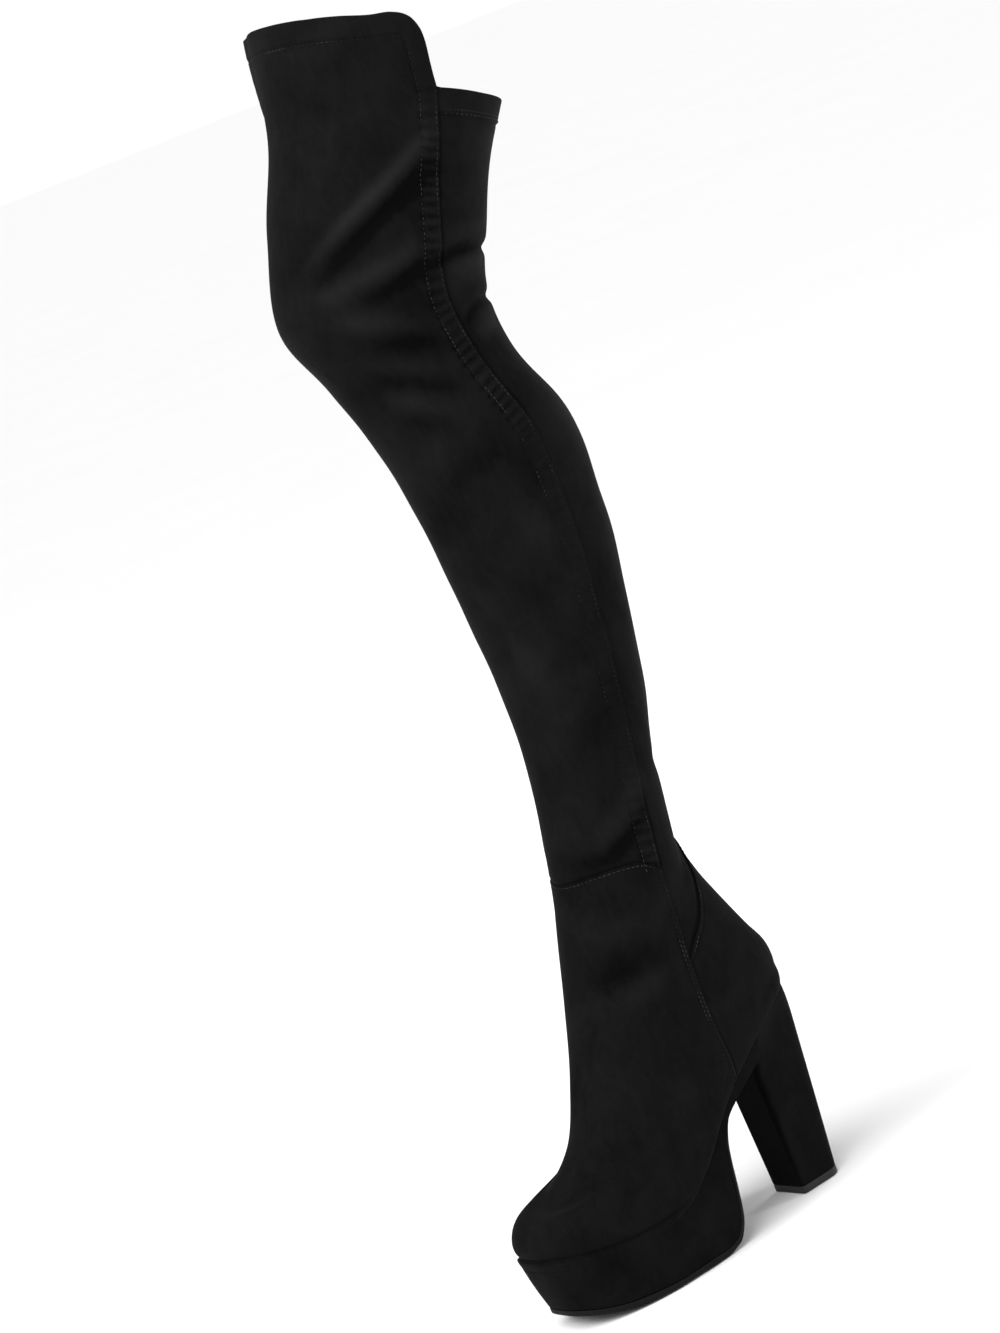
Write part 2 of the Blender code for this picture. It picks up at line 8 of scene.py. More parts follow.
import bmesh
import bpy
import numpy as np
from mathutils import Matrix, Vector
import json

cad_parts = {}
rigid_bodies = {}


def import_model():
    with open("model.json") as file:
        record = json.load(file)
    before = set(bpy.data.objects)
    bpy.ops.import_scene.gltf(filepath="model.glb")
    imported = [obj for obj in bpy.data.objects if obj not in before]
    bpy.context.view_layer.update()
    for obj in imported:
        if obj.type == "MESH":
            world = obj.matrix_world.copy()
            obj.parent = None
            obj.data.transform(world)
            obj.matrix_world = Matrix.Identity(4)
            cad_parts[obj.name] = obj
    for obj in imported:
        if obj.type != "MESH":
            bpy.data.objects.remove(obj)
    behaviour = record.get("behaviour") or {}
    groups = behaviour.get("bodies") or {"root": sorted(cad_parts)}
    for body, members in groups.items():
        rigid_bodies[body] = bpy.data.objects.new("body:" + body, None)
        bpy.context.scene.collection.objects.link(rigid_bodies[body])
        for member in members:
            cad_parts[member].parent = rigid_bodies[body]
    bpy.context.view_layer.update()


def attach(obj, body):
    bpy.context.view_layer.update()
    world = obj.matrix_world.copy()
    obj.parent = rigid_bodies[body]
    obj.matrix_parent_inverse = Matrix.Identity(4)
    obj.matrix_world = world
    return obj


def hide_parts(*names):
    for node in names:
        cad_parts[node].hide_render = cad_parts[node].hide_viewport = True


for old in list(bpy.data.objects):
    bpy.data.objects.remove(old, do_unlink=True)
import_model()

MM = 0.001
ORIGIN_U = 30.0
UP = np.array([0.0, 0.0, 1.0])

# ---- the camera, the lights and the floor

CAMERA_AT = (1.884, -1.2273, 0.7385)
CAMERA_VIEW = (-0.8400, 0.5164, -0.1665)
CAMERA_UP = (0.0609, 0.3947, 0.9168)
CAMERA_LENS, CAMERA_REACH = 105.6, 60
LIGHT_AIM = (0, -0.02, 0.4)
# Each round light's place, width in metres and watts.
ROUND_LIGHTS = {
    "key": ((0.2, -2.3, 1.9), 1.0, 30),
    "rim": ((-0.6, 1.9, 1.7), 0.9, 12),
    "edge": ((1.5, 2.4, 0.9), 0.8, 26),
}
SKY_FROM, SKY_STRENGTH, SKY_SPREAD = (0.75, -1.5, 2.3), 2.6, 0.9
ROOM_LIGHT = 0.42


def linked(name, data):
    """A new object in the scene."""
    obj = bpy.data.objects.new(name, data)
    bpy.context.scene.collection.objects.link(obj)
    return obj


def place_camera():
    data = bpy.data.cameras.new("camera")
    data.lens = CAMERA_LENS
    data.clip_end = CAMERA_REACH
    camera = linked("camera", data)
    back = -Vector(CAMERA_VIEW).normalized()
    right = Vector(CAMERA_UP).cross(back).normalized()
    turn = Matrix((right, back.cross(right), back)).transposed()
    camera.matrix_world = Matrix.Translation(Vector(CAMERA_AT)) @ turn.to_4x4()
    bpy.context.scene.camera = camera


def aimed_light(name, kind, place, power):
    """A light that looks at the middle of the boot."""
    data = bpy.data.lights.new(name, kind)
    data.energy = power
    light = linked(name, data)
    light.location = place
    light.rotation_euler = (Vector(LIGHT_AIM) - Vector(place)).to_track_quat("-Z", "Y").to_euler()
    return data


def light_studio():
    bpy.context.scene.view_settings.view_transform = "Standard"
    aimed_light("sky_panel", "SUN", SKY_FROM, SKY_STRENGTH).angle = SKY_SPREAD
    for name, (place, width, watts) in ROUND_LIGHTS.items():
        light = aimed_light(name, "AREA", place, watts)
        light.shape = "DISK"
        light.size = width
    studio = bpy.data.worlds.new("studio")
    studio.use_nodes = True
    tree = studio.node_tree
    walls = tree.nodes["Background"]
    walls.inputs["Color"].default_value = (1.0, 1.0, 1.0, 1)
    # The walls look white, but light the boot less than that.
    path = tree.nodes.new("ShaderNodeLightPath")
    seen = times(tree, path.outputs["Is Camera Ray"], 1.0 - ROOM_LIGHT)
    feed(tree, plus(tree, ROOM_LIGHT, seen), walls.inputs["Strength"])
    bpy.context.scene.world = studio


# ---- the last: the same sections as the CAD

ROW_NAMES = ("front", "front_z", "back", "back_z", "ball", "waist", "heel", "follow")
ROWS = {
    "feather": (222, 40, 4, 121, 41, 30, 33, 1.00),
    "bite": (226, 46, 3, 129, 43, 33, 35, 0.97),
    "toe_side": (226, 54, 3.5, 139, 43, 36, 37, 0.88),
    "toe_box": (216, 66, 6.5, 151, 40, 37, 38, 0.74),
    "vamp": (196, 71, 12, 163, 36, 37, 38, 0.58),
    "throat": (174, 86, 18.5, 177, 34, 37, 38, 0.42),
    "instep": (154, 122, 25, 192, 34, 37, 38, 0.25),
    "bend": (139, 162, 31, 208, 35, 36, 37, 0.10),
    "ankle": (121, 215, 36, 229, 37, 37, 37, 0.0),
    "shin_low": (107, 270, 31, 275, 37, 37, 37, 0.0),
    "shin": (99, 330, 18, 325, 40, 40, 40, 0.0),
    "calf_low": (100, 385, 8, 375, 45, 45, 45, 0.0),
    "calf": (104, 440, 0, 430, 49, 49, 49, 0.0),
    "calf_high": (112, 495, 0, 482, 51, 51, 51, 0.0),
    "under_knee": (128, 545, 21.5, 535, 52, 52, 52, 0.0),
    "knee": (145, 590, 22, 570, 56, 56, 56, 0.0),
    "over_knee": (128, 642, 7, 602, 60, 60, 60, 0.0),
    "thigh": (102, 697, -11, 635, 62, 62, 62, 0.0),
    "collar": (90, 754, -38, 668, 67, 67, 67, 0.0),
}
COLLAR_EDGE = (
    (0, -2), (30, -3), (50, -1), (68, 1), (74, 0), (79, -3), (84, -14), (87, -27), (90, -29.5),
    (120, -23), (150, -15), (180, -10),
)
FEATHER = (
    (-5, 125), (0, 123), (25, 114), (50, 103), (75, 90), (90, 81), (105, 69),
    (120, 55), (135, 44.5), (150, 39.5), (170, 37), (190, 37), (210, 39), (228, 42),
)
UNDERSIDE = (
    (40, 97), (60, 90), (75, 83), (90, 75), (98, 69), (103, 62), (107, 53), (110, 38),
    (114, 19), (120, 7), (130, 1.2), (145, 0), (175, 0), (200, 4), (226, 12),
)
OUTSOLE = ((40, 2.0), (95, 2.0), (112, 2.6), (130, 4.0), (230, 4.0))
ZIP_LINE = (
    (92, 101), (108, 95), (130, 91), (160, 91), (190, 88), (220, 82), (250, 74),
    (280, 66), (300, 61), (330, 58), (360, 57),
)
ZIP_FOOT, ZIP_TOP, SLIDER_Z = 93.0, 342.0, 327.0
SLOT_HALF, TAPE_HALF = 4.5, 10.0
BREAST_U = 50.6
TIP_BACK, TIP_FRONT, TIP_HALF = 14.0, 46.0, 15.4
LIFT, GAP, SEAM_GAP = 4.5, 0.3, 0.1
# Lean of the feather line at the waist and of the sole's underside, as a shift ahead for each lateral unit.
FEATHER_LEAN, SOLE_LEAN = 0.30, 0.42
# How far the toe swings to the medial side, and how softly the heel, waist and ball widths run together.
TOE_SWING, BLEND = 6, 0.10


def curve(knots, level, at):
    """Smooth curve through a table's points."""
    slope = np.gradient(level, knots)
    i = np.clip(np.searchsorted(knots, at, side="right") - 1, 0, len(knots) - 2)
    step = knots[i + 1] - knots[i]
    t = (at - knots[i]) / step
    near = (2 * t**3 - 3 * t**2 + 1) * level[i] + (t**3 - 2 * t**2 + t) * step * slope[i]
    far = (3 * t**2 - 2 * t**3) * level[i + 1] + (t**3 - t**2) * step * slope[i + 1]
    return near + far


def along(table, at):
    """The same through a table of pairs, level past its ends."""
    points = np.array(table, float)
    return curve(points[:, 0], points[:, 1], np.clip(at, points[0, 0], points[-1, 0]))


def straight(table, at):
    """Straight lines through a table's points."""
    return np.interp(at, *np.array(table, float).T)


def smooth(value, low, high):
    """0 below low, 1 above high, and an S between them."""
    t = np.clip((np.asarray(value, float) - low) / (high - low), 0, 1)
    return t * t * (3 - 2 * t)


def bell(distance, width):
    return np.exp(-((np.asarray(distance) / width) ** 2))


def unit(vectors):
    return vectors / np.linalg.norm(vectors, axis=-1, keepdims=True)


def run_of(line):
    """Length along a line at each of its points."""
    return np.concatenate([[0], np.cumsum(np.linalg.norm(np.diff(line, axis=0), axis=1))])


def at_run(line, run, at):
    """What a line holds where its run is as long as asked."""
    return np.stack([np.interp(at, run, part) for part in line.T], -1)


SECTIONS = np.array(list(ROWS.values()), float)
RISE = np.hypot(np.diff(SECTIONS[:, 0]), np.diff(SECTIONS[:, 1]))
RISE = (RISE + np.hypot(np.diff(SECTIONS[:, 2]), np.diff(SECTIONS[:, 3]))) / 2
KNOTS = np.concatenate([[0], np.cumsum(RISE)])
HEIGHT = KNOTS[-1]


def feather(u, x=0.0):
    """Height of the feather line, where the upper meets the sole."""
    return along(FEATHER, u + FEATHER_LEAN * bell(u - 95, 38.0) * x)


SECTIONS[0, 1] = feather(SECTIONS[0, 0])
SECTIONS[0, 3] = feather(SECTIONS[0, 2])


def underside(u, x=0.0, inset=None):
    """Height of the sole's underside, or of a surface set in from it."""
    table = np.array(UNDERSIDE, float)
    if inset is not None:
        du, dz = np.gradient(table[:, 0]), np.gradient(table[:, 1])
        size = np.hypot(du, dz)
        depth = inset(table[:, 0])
        table = table + np.stack([-dz / size * depth, du / size * depth], 1)
    return along(table, u + SOLE_LEAN * x * np.clip((190 - u) / 60, 0, 1))


def upper(a, v):
    """Outer surface of the upper at a degrees and way up v."""
    a, v = np.broadcast_arrays(np.radians(np.asarray(a, float)), np.asarray(v, float))
    over = np.clip(v - HEIGHT, 0, None)
    v = np.clip(v, 0, HEIGHT)
    row = {name: curve(KNOTS, SECTIONS[:, i], v) for i, name in enumerate(ROW_NAMES)}
    follow = np.clip(row["follow"], 0, 1)
    foot = follow**0.5
    ahead, turn = np.cos(a), np.sin(a)
    side = np.sign(turn) * np.abs(turn) ** (1 - 0.4 * foot)
    u = (row["front"] + row["back"]) / 2 + (row["front"] - row["back"]) / 2 * ahead
    lateral = 0.5 + 0.5 * turn
    at_heel = 1 / (1 + np.exp((ahead + 0.42) / BLEND))
    at_ball = 1 / (1 + np.exp((0.12 - ahead) / BLEND))
    at_waist = 1 - at_heel - at_ball
    half = at_heel * row["heel"] + at_waist * row["waist"] * (1 + (0.16 * lateral - 0.10) * foot)
    half = half + at_ball * row["ball"] * (1 + (0.05 * lateral - 0.02) * foot)
    x = half * side - TOE_SWING * np.clip((u - 80) / 145, 0, None) ** 2 * foot
    flat = (row["front_z"] + row["back_z"]) / 2 + (row["front_z"] - row["back_z"]) / 2 * ahead
    share = (ahead + 1) / 2
    low = feather(u, x) + (row["front_z"] - feather(row["front"])) * share
    low = low + (row["back_z"] - feather(row["back"])) * (1 - share)
    point = np.stack([x, u, flat * (1 - follow) + low * follow], -1)
    return point + over[..., None] * np.array([0, -0.35, 0.94])


def outward(a, v):
    """Outward unit normal of the upper."""
    v = np.clip(v, 0.5, HEIGHT - 0.5)
    around = upper(a + 0.06, v) - upper(a - 0.06, v)
    rise = upper(a, v + 0.5) - upper(a, v - 0.5)
    return unit(np.cross(rise, around))


def millimetres_per_degree(a, v):
    return np.linalg.norm(upper(a + 0.5, v) - upper(a - 0.5, v), axis=-1)


def world(points):
    """Boot millimetres to world metres."""
    p = np.asarray(points, float)
    return np.stack([p[..., 0], ORIGIN_U - p[..., 1], p[..., 2]], -1) * MM


# ---- seam lines, as turn and way up

# Way up and turn of the lateral side seam, which runs on below the ankle as the quarter's front edge.
SIDE_SEAM = (
    (0, 113), (18, 112), (49, 108), (73, 105), (100, 103), (130, 104), (160, 102), (190, 101),
    (239, 99), (290, 96), (340, 95), (400, 95), (440, 96), (475, 97), (530, 98), (555, 97),
    (572, 95), (606, 93), (647, 90), (700, 90),
)
# Turn and way up of the ankle seam, and of the counter's top edge round the heel.
ANKLE_SEAM = ((0, 183), (50, 183), (68, 181), (84, 177), (103, 167), (112, 163))
COUNTER_TOP = (
    (95, 99), (103, 101), (112, 105.5), (121, 109), (129, 116), (136, 124), (143, 133), (149, 145),
    (154, 156), (162, 164), (180, 168),
)
# Turn, and how far the collar's front edge stands above COLLAR_EDGE there.
COLLAR_LIFT = (
    (-89, 0), (-87, 3), (-84, 7.5), (-78, 7.8), (-68, 5.2), (-50, 3.4), (-32, 3), (-15, 0.6), (0, -1.2),
    (15, -0.8), (30, 0.5), (45, 1.2), (60, 2.6), (68, 5.2), (78, 7.8), (84, 7.5), (87, 3), (89, 0),
)


def signed_turn(a):
    """The same turn, between -180 and 180."""
    return (np.asarray(a, float) + 180) % 360 - 180


def turn_from_toe(a):
    return np.abs(signed_turn(a))


def collar(a):
    """Way up of the collar's edge, its corners a little rounded."""
    away = turn_from_toe(a)
    level = np.mean([straight(COLLAR_EDGE, np.abs(away + d)) for d in (-2, -1, 0, 1, 2)], axis=0)
    return HEIGHT - 0.9 + level + along(COLLAR_LIFT, signed_turn(a))


def ankle(a):
    return along(ANKLE_SEAM, turn_from_toe(a))


def counter_top(a):
    return along(COUNTER_TOP, turn_from_toe(a))


def side_seam(v):
    return along(SIDE_SEAM, v)


def zip_angles(levels):
    """Turn at which the zip's line crosses each row."""
    turns = np.linspace(-140, -40, 401)
    rings = [upper(turns, level) for level in levels]
    return np.array([np.interp(0, ring[:, 1] - along(ZIP_LINE, ring[:, 2]), turns) for ring in rings])


ZIP_LEVELS = np.linspace(0, 400, 240)
ZIP_TURNS = zip_angles(ZIP_LEVELS)
ZIP_HEIGHTS = upper(ZIP_TURNS, ZIP_LEVELS)[:, 2]
SLOT_FOOT, SLOT_TOP, SLIDER_UP = np.interp((ZIP_FOOT, ZIP_TOP, SLIDER_Z), ZIP_HEIGHTS, ZIP_LEVELS)


def zip_turn(v):
    return np.interp(v, ZIP_LEVELS, ZIP_TURNS)


def inner_seam(v):
    """The zip's line, and above it the medial side seam up to the collar."""
    line = zip_turn(np.minimum(v, SLOT_TOP + 40))
    ease = smooth(v, SLOT_TOP, SLOT_TOP + 130)
    return line * (1 - ease) - side_seam(v) * ease


def slot_half(v):
    """Half of the zip opening's width, in degrees."""
    open_here = smooth(v, SLOT_FOOT - 3, SLOT_FOOT + 4) * (1 - smooth(v, SLOT_TOP - 4, SLOT_TOP + 3))
    return SLOT_HALF * open_here / millimetres_per_degree(inner_seam(v), v)


def inner_seam_behind(v):
    return inner_seam(v) + 360


def slot_front(v):
    return inner_seam(v) + slot_half(v)


def slot_back(v):
    return inner_seam_behind(v) - slot_half(v)


def no_gap(v):
    return 0 * v


# ---- creases

# Each crease: turn and way up of its points, its height (a trough is negative) and its width.
FOLDS = (
    # Above the knee on the lateral side: two long ridges that run down and forward, a trough under each.
    (((90, 626), (80, 613), (64, 593), (44, 575), (18, 555)), 2.6, 4.8),
    (((92, 606), (82, 596), (69, 583), (50, 566), (24, 546)), -2.1, 5.2),
    (((60, 574), (42, 560), (28, 549)), -0.5, 6.0),
    (((86, 562), (66, 552), (46, 546), (24, 540)), 1.9, 5.8),
    (((100, 551), (86, 549), (68, 541), (50, 535)), -1.9, 5.0),
    # Across the knee.
    (((30, 530), (54, 524), (86, 514)), 1.3, 5.5),
    (((28, 518), (58, 510), (90, 499)), -0.8, 4.6),
    (((28, 504), (52, 497), (80, 484)), 1.1, 5.5),
    (((26, 492), (46, 486), (76, 470)), -0.7, 4.6),
    (((24, 479), (42, 474), (66, 457)), 1.2, 7.0),
    (((24, 464), (38, 459), (58, 444)), -0.9, 7.0),
    # In the hollow of the knee: sharp folds that run in from the lateral side.
    (((88, 547), (108, 555), (134, 558), (160, 556), (186, 552)), -2.8, 3.6),
    (((98, 562), (112, 567), (130, 569), (146, 569)), 1.0, 4.5),
    (((98, 545), (116, 548), (136, 551)), 1.0, 3.6),
    (((98, 508), (116, 519), (146, 524), (174, 518), (200, 520)), -2.6, 3.2),
    (((104, 501), (116, 506), (134, 510)), 2.2, 5.5),
    (((108, 497), (116, 490), (122, 480)), -0.4, 6.0),
    (((100, 540), (116, 543), (134, 545)), 0.7, 6.0),
    (((102, 528), (116, 531), (134, 533)), -0.7, 5.0),
    # The same on the medial side.
    (((-88, 618), (-76, 606), (-60, 590), (-42, 578)), 2.4, 6.5),
    (((-90, 598), (-74, 587), (-56, 573), (-42, 563)), -2.2, 6.0),
    (((-86, 562), (-68, 553), (-48, 548)), 1.7, 7.0),
    (((-96, 552), (-76, 541), (-54, 533)), -1.6, 5.5),
    (((-84, 524), (-62, 518), (-44, 518)), 1.5, 6.0),
    (((-82, 509), (-60, 503), (-42, 504)), -1.4, 5.0),
    (((-76, 491), (-56, 489), (-40, 491)), 1.3, 6.5),
    (((-70, 472), (-52, 472), (-38, 475)), -1.1, 6.0),
    (((-96, 549), (-118, 553), (-146, 555), (-170, 553)), -2.2, 3.6),
    (((-102, 515), (-124, 520), (-150, 521), (-168, 519)), -2.0, 3.4),
    (((-108, 503), (-124, 505), (-140, 507)), 1.5, 6.5),
    # Low on the calf and the shin, long and faint.
    (((58, 420), (66, 396), (70, 360)), 0.8, 9.0),
    (((120, 452), (128, 420), (132, 380)), 0.8, 10.0),
    (((-60, 440), (-68, 410), (-66, 376)), 0.8, 9.0),
    (((20, 330), (34, 300), (38, 268)), 0.7, 9.0),
    (((130, 320), (124, 286), (126, 254)), 0.8, 8.0),
    # Round the ankle.
    (((30, 190), (52, 189), (70, 192), (90, 200), (104, 214)), -1.5, 5.0),
    (((40, 204), (62, 204), (84, 214), (98, 228)), 1.1, 7.0),
    (((100, 236), (118, 226), (140, 222), (164, 226)), -1.0, 6.0),
    (((96, 122), (80, 128), (62, 132), (42, 136), (18, 142)), -0.8, 10.0),
    (((88, 111), (72, 117), (56, 122), (38, 129)), 0.9, 8.0),
    (((6, 158), (30, 156), (54, 152), (76, 150)), 0.9, 8.0),
    (((-30, 190), (-52, 190), (-72, 196)), -1.2, 5.5),
    (((-34, 138), (-48, 135), (-64, 132)), -0.8, 7.0),
    (((118, 138), (132, 146), (150, 170), (172, 186)), -0.8, 6.0),
    # The collar's front stands out a little at its inner side, where it lay folded.
    (((-37, 735), (-36, 700), (-35, 668), (-34, 636)), 2.8, 6.0),
    # The toe box, and the lasted edge of the heel.
    (((12, 96), (-14, 94)), -0.6, 14.0),
    (((132, 12), (150, 11), (180, 12), (212, 11), (232, 12)), -0.7, 4.0),
    (((130, 24), (155, 27), (180, 28), (206, 26), (232, 24)), 0.7, 7.0),
)


def between(points, count):
    """Smooth line of count points through a few turn and way up points."""
    table = np.array(points, float)
    run = np.arange(len(table), dtype=float)
    at = np.linspace(0, run[-1], count)
    return np.stack([curve(run, table[:, i], at) for i in range(2)], 1)


def nearest(points, line):
    """Distance from each point to the nearest of a line's points, and which one that is."""
    away = np.empty(len(points))
    which = np.empty(len(points), int)
    for start in range(0, len(points), 4000):
        part = points[start:start + 4000]
        square = (part**2).sum(1)[:, None] + (line**2).sum(1)[None] - 2 * part @ line.T
        index = square.argmin(1)
        which[start:start + 4000] = index
        away[start:start + 4000] = np.sqrt(np.clip(square[np.arange(len(part)), index], 0, None))
    return away, which


FOLD_POINTS = 70
FOLD_LINES = [upper(*between(points, FOLD_POINTS).T) for points, _, _ in FOLDS]
ZIP_3D = upper(inner_seam(ZIP_LEVELS), ZIP_LEVELS)


def slack(points):
    """Slow unevenness of unfilled cloth."""
    x, u, z = points.T
    wave = np.sin(z / 17 + u / 31) * np.sin(u / 19 - z / 47 + x / 29)
    wave = wave + 0.6 * np.sin(z / 9.5 - x / 13 + 1.3) * np.sin(u / 12 + z / 26)
    return 0.34 * wave * smooth(z, 150, 280) + 0.10 * wave


def creases(points):
    """How far each point of the smooth upper moves out, in millimetres."""
    total = slack(points)
    for line, (_, height, width) in zip(FOLD_LINES, FOLDS):
        reach = 2.6 * width
        inside = ((points > line.min(0) - reach) & (points < line.max(0) + reach)).all(1)
        if not inside.any():
            continue
        away, which = nearest(points[inside], line)
        share = which / (FOLD_POINTS - 1)
        ends = np.sin(np.pi * np.clip(share, 0, 1)) ** 0.7
        total[inside] += height * ends * bell(away, width)
    away, _ = nearest(points, ZIP_3D[ZIP_LEVELS < SLOT_TOP + 6])
    return total * smooth(away, 7, 30)


# ---- edges and seams in relief

# Each panel's relief gives how far its surface stands out, and the part of that which is painted into the
# suede's colour: painted highlight on ridges and raised bands, painted shade in troughs, grooves and seams.

# Depth of the folded hem in front and behind.
HEM_FRONT, HEM_BACK = 11.5, 14.0
# How far stitches lie from the seam they follow; beside the ladder seam there are two rows.
BESIDE_SEAM, BESIDE_LADDER, SECOND_ROW, BESIDE_ZIP = 1.9, 1.8, 4.2, 2.3
UNDER_ANKLE, UNDER_COUNTER, OVER_HEM = 2.0, 2.6, 2.4
SEAM_SINK, SEAM_WIDTH = 0.75, 1.3
# Way up and strength of the puckers beside the side seams.
PUCKERS = (
    (170, 0.65), (200, 0.65), (225, 0.15), (330, 0.12), (430, 0.3), (452, 1.0), (500, 1.0), (508, 0.2),
    (514, 0.9), (540, 0.9), (548, 0.35), (556, 1.0), (622, 0.9), (640, 0.4), (676, 0.5),
)
PUCKER_PITCH = 6.3
# Lean of the platform's wall, and for each distance ahead the way up of its wrap's edge.
WALL_LEAN = 0.12
WRAP_EDGE = ((90, 0), (120, 1.5), (150, 4), (175, 5.5), (200, 7.5), (223, 9))
# How far the toe box draws in above that edge, and how far it swells higher up.
TOE_TUCK = ((135, 0), (165, 1.2), (200, 2.4), (222, 3.6))
TOE_SWELL, TOE_SWELL_UP = 2.4, 30.0


def line_of(turns, levels):
    """Turn and way up of a line, with its points on the surface and the length to each."""
    flat = np.stack([turns, levels], 1)
    points = upper(turns, levels)
    return {"flat": flat, "points": points, "run": run_of(points)}


def line_round(levels_at, start, end, count=400):
    """A line that runs round the foot or leg between two turns."""
    turns = np.linspace(start, end, count)
    return line_of(turns, levels_at(turns))


def line_up(turns_at, low, high, count=500):
    """A line that runs up the surface between two levels."""
    levels = np.linspace(low, high, count)
    return line_of(turns_at(levels), levels)


LINES = {
    "ankle": line_round(ankle, -96, 102),
    "side": line_up(side_seam, ankle(101.0), collar(90.0)),
    "inner": line_up(inner_seam, SLOT_TOP, collar(90.0)),
    "ladder": line_up(side_seam, 0, 168),
    "foot": line_up(inner_seam, 0, SLOT_FOOT, 60),
    "counter": line_round(counter_top, 102, 262),
    "collar_front": line_round(collar, -90, 90, 700),
    "collar_back": line_round(collar, 90, 270, 600),
    "slot_front": line_up(slot_front, SLOT_FOOT, SLOT_TOP),
    "slot_back": line_up(slot_back, SLOT_FOOT, SLOT_TOP),
}


def away_from(points, *names):
    """Distance from each point to the nearest of the named lines."""
    return np.min([nearest(points, LINES[name]["points"])[0] for name in names], axis=0)


def groove(points, name, sink=SEAM_SINK, width=SEAM_WIDTH):
    return -sink * bell(away_from(points, name), width)


def puckers(points, v, name):
    """Short bars across the folded edge beside a side seam."""
    line = LINES[name]
    away, which = nearest(points, line["points"])
    run = line["run"][which]
    beat = 2 * np.pi * run / PUCKER_PITCH + 0.9 * np.sin(run / 11) + 0.7 * np.sin(run / 4.7)
    bars = np.cos(beat) * np.sin(np.pi * np.clip(away / (HEM_FRONT + 3), 0, 1)) ** 0.8
    return 0.75 * bars * straight(PUCKERS, v)


def below_knee(v):
    """1 along the calf, where the folded edge lies flat and its thread sinks in."""
    return smooth(v, 195, 225) * (1 - smooth(v, 425, 455))


def hem(points, v, names, depth):
    """A folded edge: a thicker band with a stitched line sunk at its inner side."""
    away = away_from(points, *names)
    band = 0.32 * (1 - smooth(away, depth - 1.2, depth + 1.0))
    return (band - 0.42 * bell(away - depth, 0.9)) * (1 - 0.55 * below_knee(v))


def side_grooves(points, v):
    """The grooves of the side seams, which nearly close along the calf."""
    return (groove(points, "side") + groove(points, "inner")) * (1 - 0.7 * below_knee(v))


def relief_front(points, a, v):
    height = creases(points) + groove(points, "ankle", 0.55) + side_grooves(points, v)
    height += puckers(points, v, "side") + puckers(points, v, "inner")
    height += hem(points, v, ("collar_front", "side", "inner"), HEM_FRONT)
    height += groove(points, "slot_front", 0.3, 0.8)
    return height, height


def relief_back(points, a, v):
    height = creases(points) + side_grooves(points, v)
    height += hem(points, v, ("collar_back",), HEM_BACK)
    away = away_from(points, "counter")
    height -= 0.55 * (1 - smooth(away, 0.5, 5.0)) + 0.2 * bell(away - 2.0, 1.0)
    height += 0.35 * groove(points, "ladder") + groove(points, "slot_back", 0.3, 0.8)
    return height, height


def sole_grow(u):
    """How far the platform's top edge stands out from the upper's lower edge."""
    return 1.8 * np.clip((u - 122) / 36, 0, 1) - 0.3 * np.clip((110 - u) / 30, 0, 1)


def wrap_band(points, v):
    """Way up of the wrap's edge, and 1 on the band below it."""
    edge = straight(WRAP_EDGE, points[:, 1])
    return edge, 1 - smooth(v, edge - 0.7, edge + 0.9)


def toe_form(points, a, v):
    """The band lies flush with the platform's wall; above it the toe box draws in, and then swells."""
    edge, wrapped = wrap_band(points, v)
    out = outward(a, v)[:, :2]
    flare = ((points - upper(a, 0.0))[:, :2] * out).sum(1) / np.linalg.norm(out, axis=1)
    flush = sole_grow(points[:, 1]) + WALL_LEAN * v - flare
    tuck = straight(TOE_TUCK, points[:, 1]) * np.exp(-(np.clip(v - edge, 0, None) / 9) ** 1.5)
    swell = TOE_SWELL * bell(v - TOE_SWELL_UP, 10) * smooth(np.cos(np.radians(a)), 0.1, 0.8)
    return np.minimum(flush, 1.8) * wrapped + (swell - tuck) * (1 - wrapped)


def relief_vamp(points, a, v):
    height = creases(points) + groove(points, "ankle", 0.55) + groove(points, "ladder", 0.3)
    height += groove(points, "foot") + groove(points, "slot_front", 0.3, 0.8)
    height -= 0.35 * bell(away_from(points, "ladder") - SECOND_ROW, 0.8)
    edge, wrapped = wrap_band(points, v)
    fades = smooth(points[:, 1], 128, 160)
    height -= 0.5 * fades * bell(v - edge - 0.6, 1.0)
    # The band below the wrap's edge, along the joint with the platform, gets painted shade.
    return height + toe_form(points, a, v), height - 0.2 * fades * wrapped


def relief_counter(points, a, v):
    height = creases(points) + groove(points, "ladder", 0.5) + groove(points, "foot", 0.9)
    away = away_from(points, "counter")
    height += 0.15 * bell(away, 1.5) - 0.3 * bell(away - UNDER_COUNTER, 0.7)
    height += groove(points, "slot_back", 0.4, 0.8) - 0.5 * np.exp(-v / 1.2)
    return height + 0.45 - 0.3 * bell(away_from(points, "ladder"), 5), height


def relief_lining(points, a, v):
    height = creases(points) + np.minimum(toe_form(points, a, v), 0)
    height -= 2.2 * bell(v - 11, 10) * smooth(points[:, 1], 120, 150)
    seam_allowance = 1 - smooth(away_from(points, "side", "inner"), 15, 21)
    height -= (0.35 + 1.1 * seam_allowance) * (1 - smooth(v - collar(a), -26, -14))
    return height, height


# ---- materials


def feed(tree, value, socket):
    """A number, a colour or another node's output goes into a socket."""
    if isinstance(value, bpy.types.NodeSocket):
        tree.links.new(value, socket)
    else:
        socket.default_value = value


def set_inputs(tree, node, **values):
    """What goes into a node's sockets, each named with _ for a space."""
    for name, value in values.items():
        feed(tree, value, node.inputs[name.replace("_", " ")])


def new_look(name, **values):
    """A new material, its node tree and its shader."""
    made = bpy.data.materials.new(name)
    made.use_nodes = True
    tree = made.node_tree
    shader = tree.nodes["Principled BSDF"]
    set_inputs(tree, shader, **values)
    return made, tree, shader


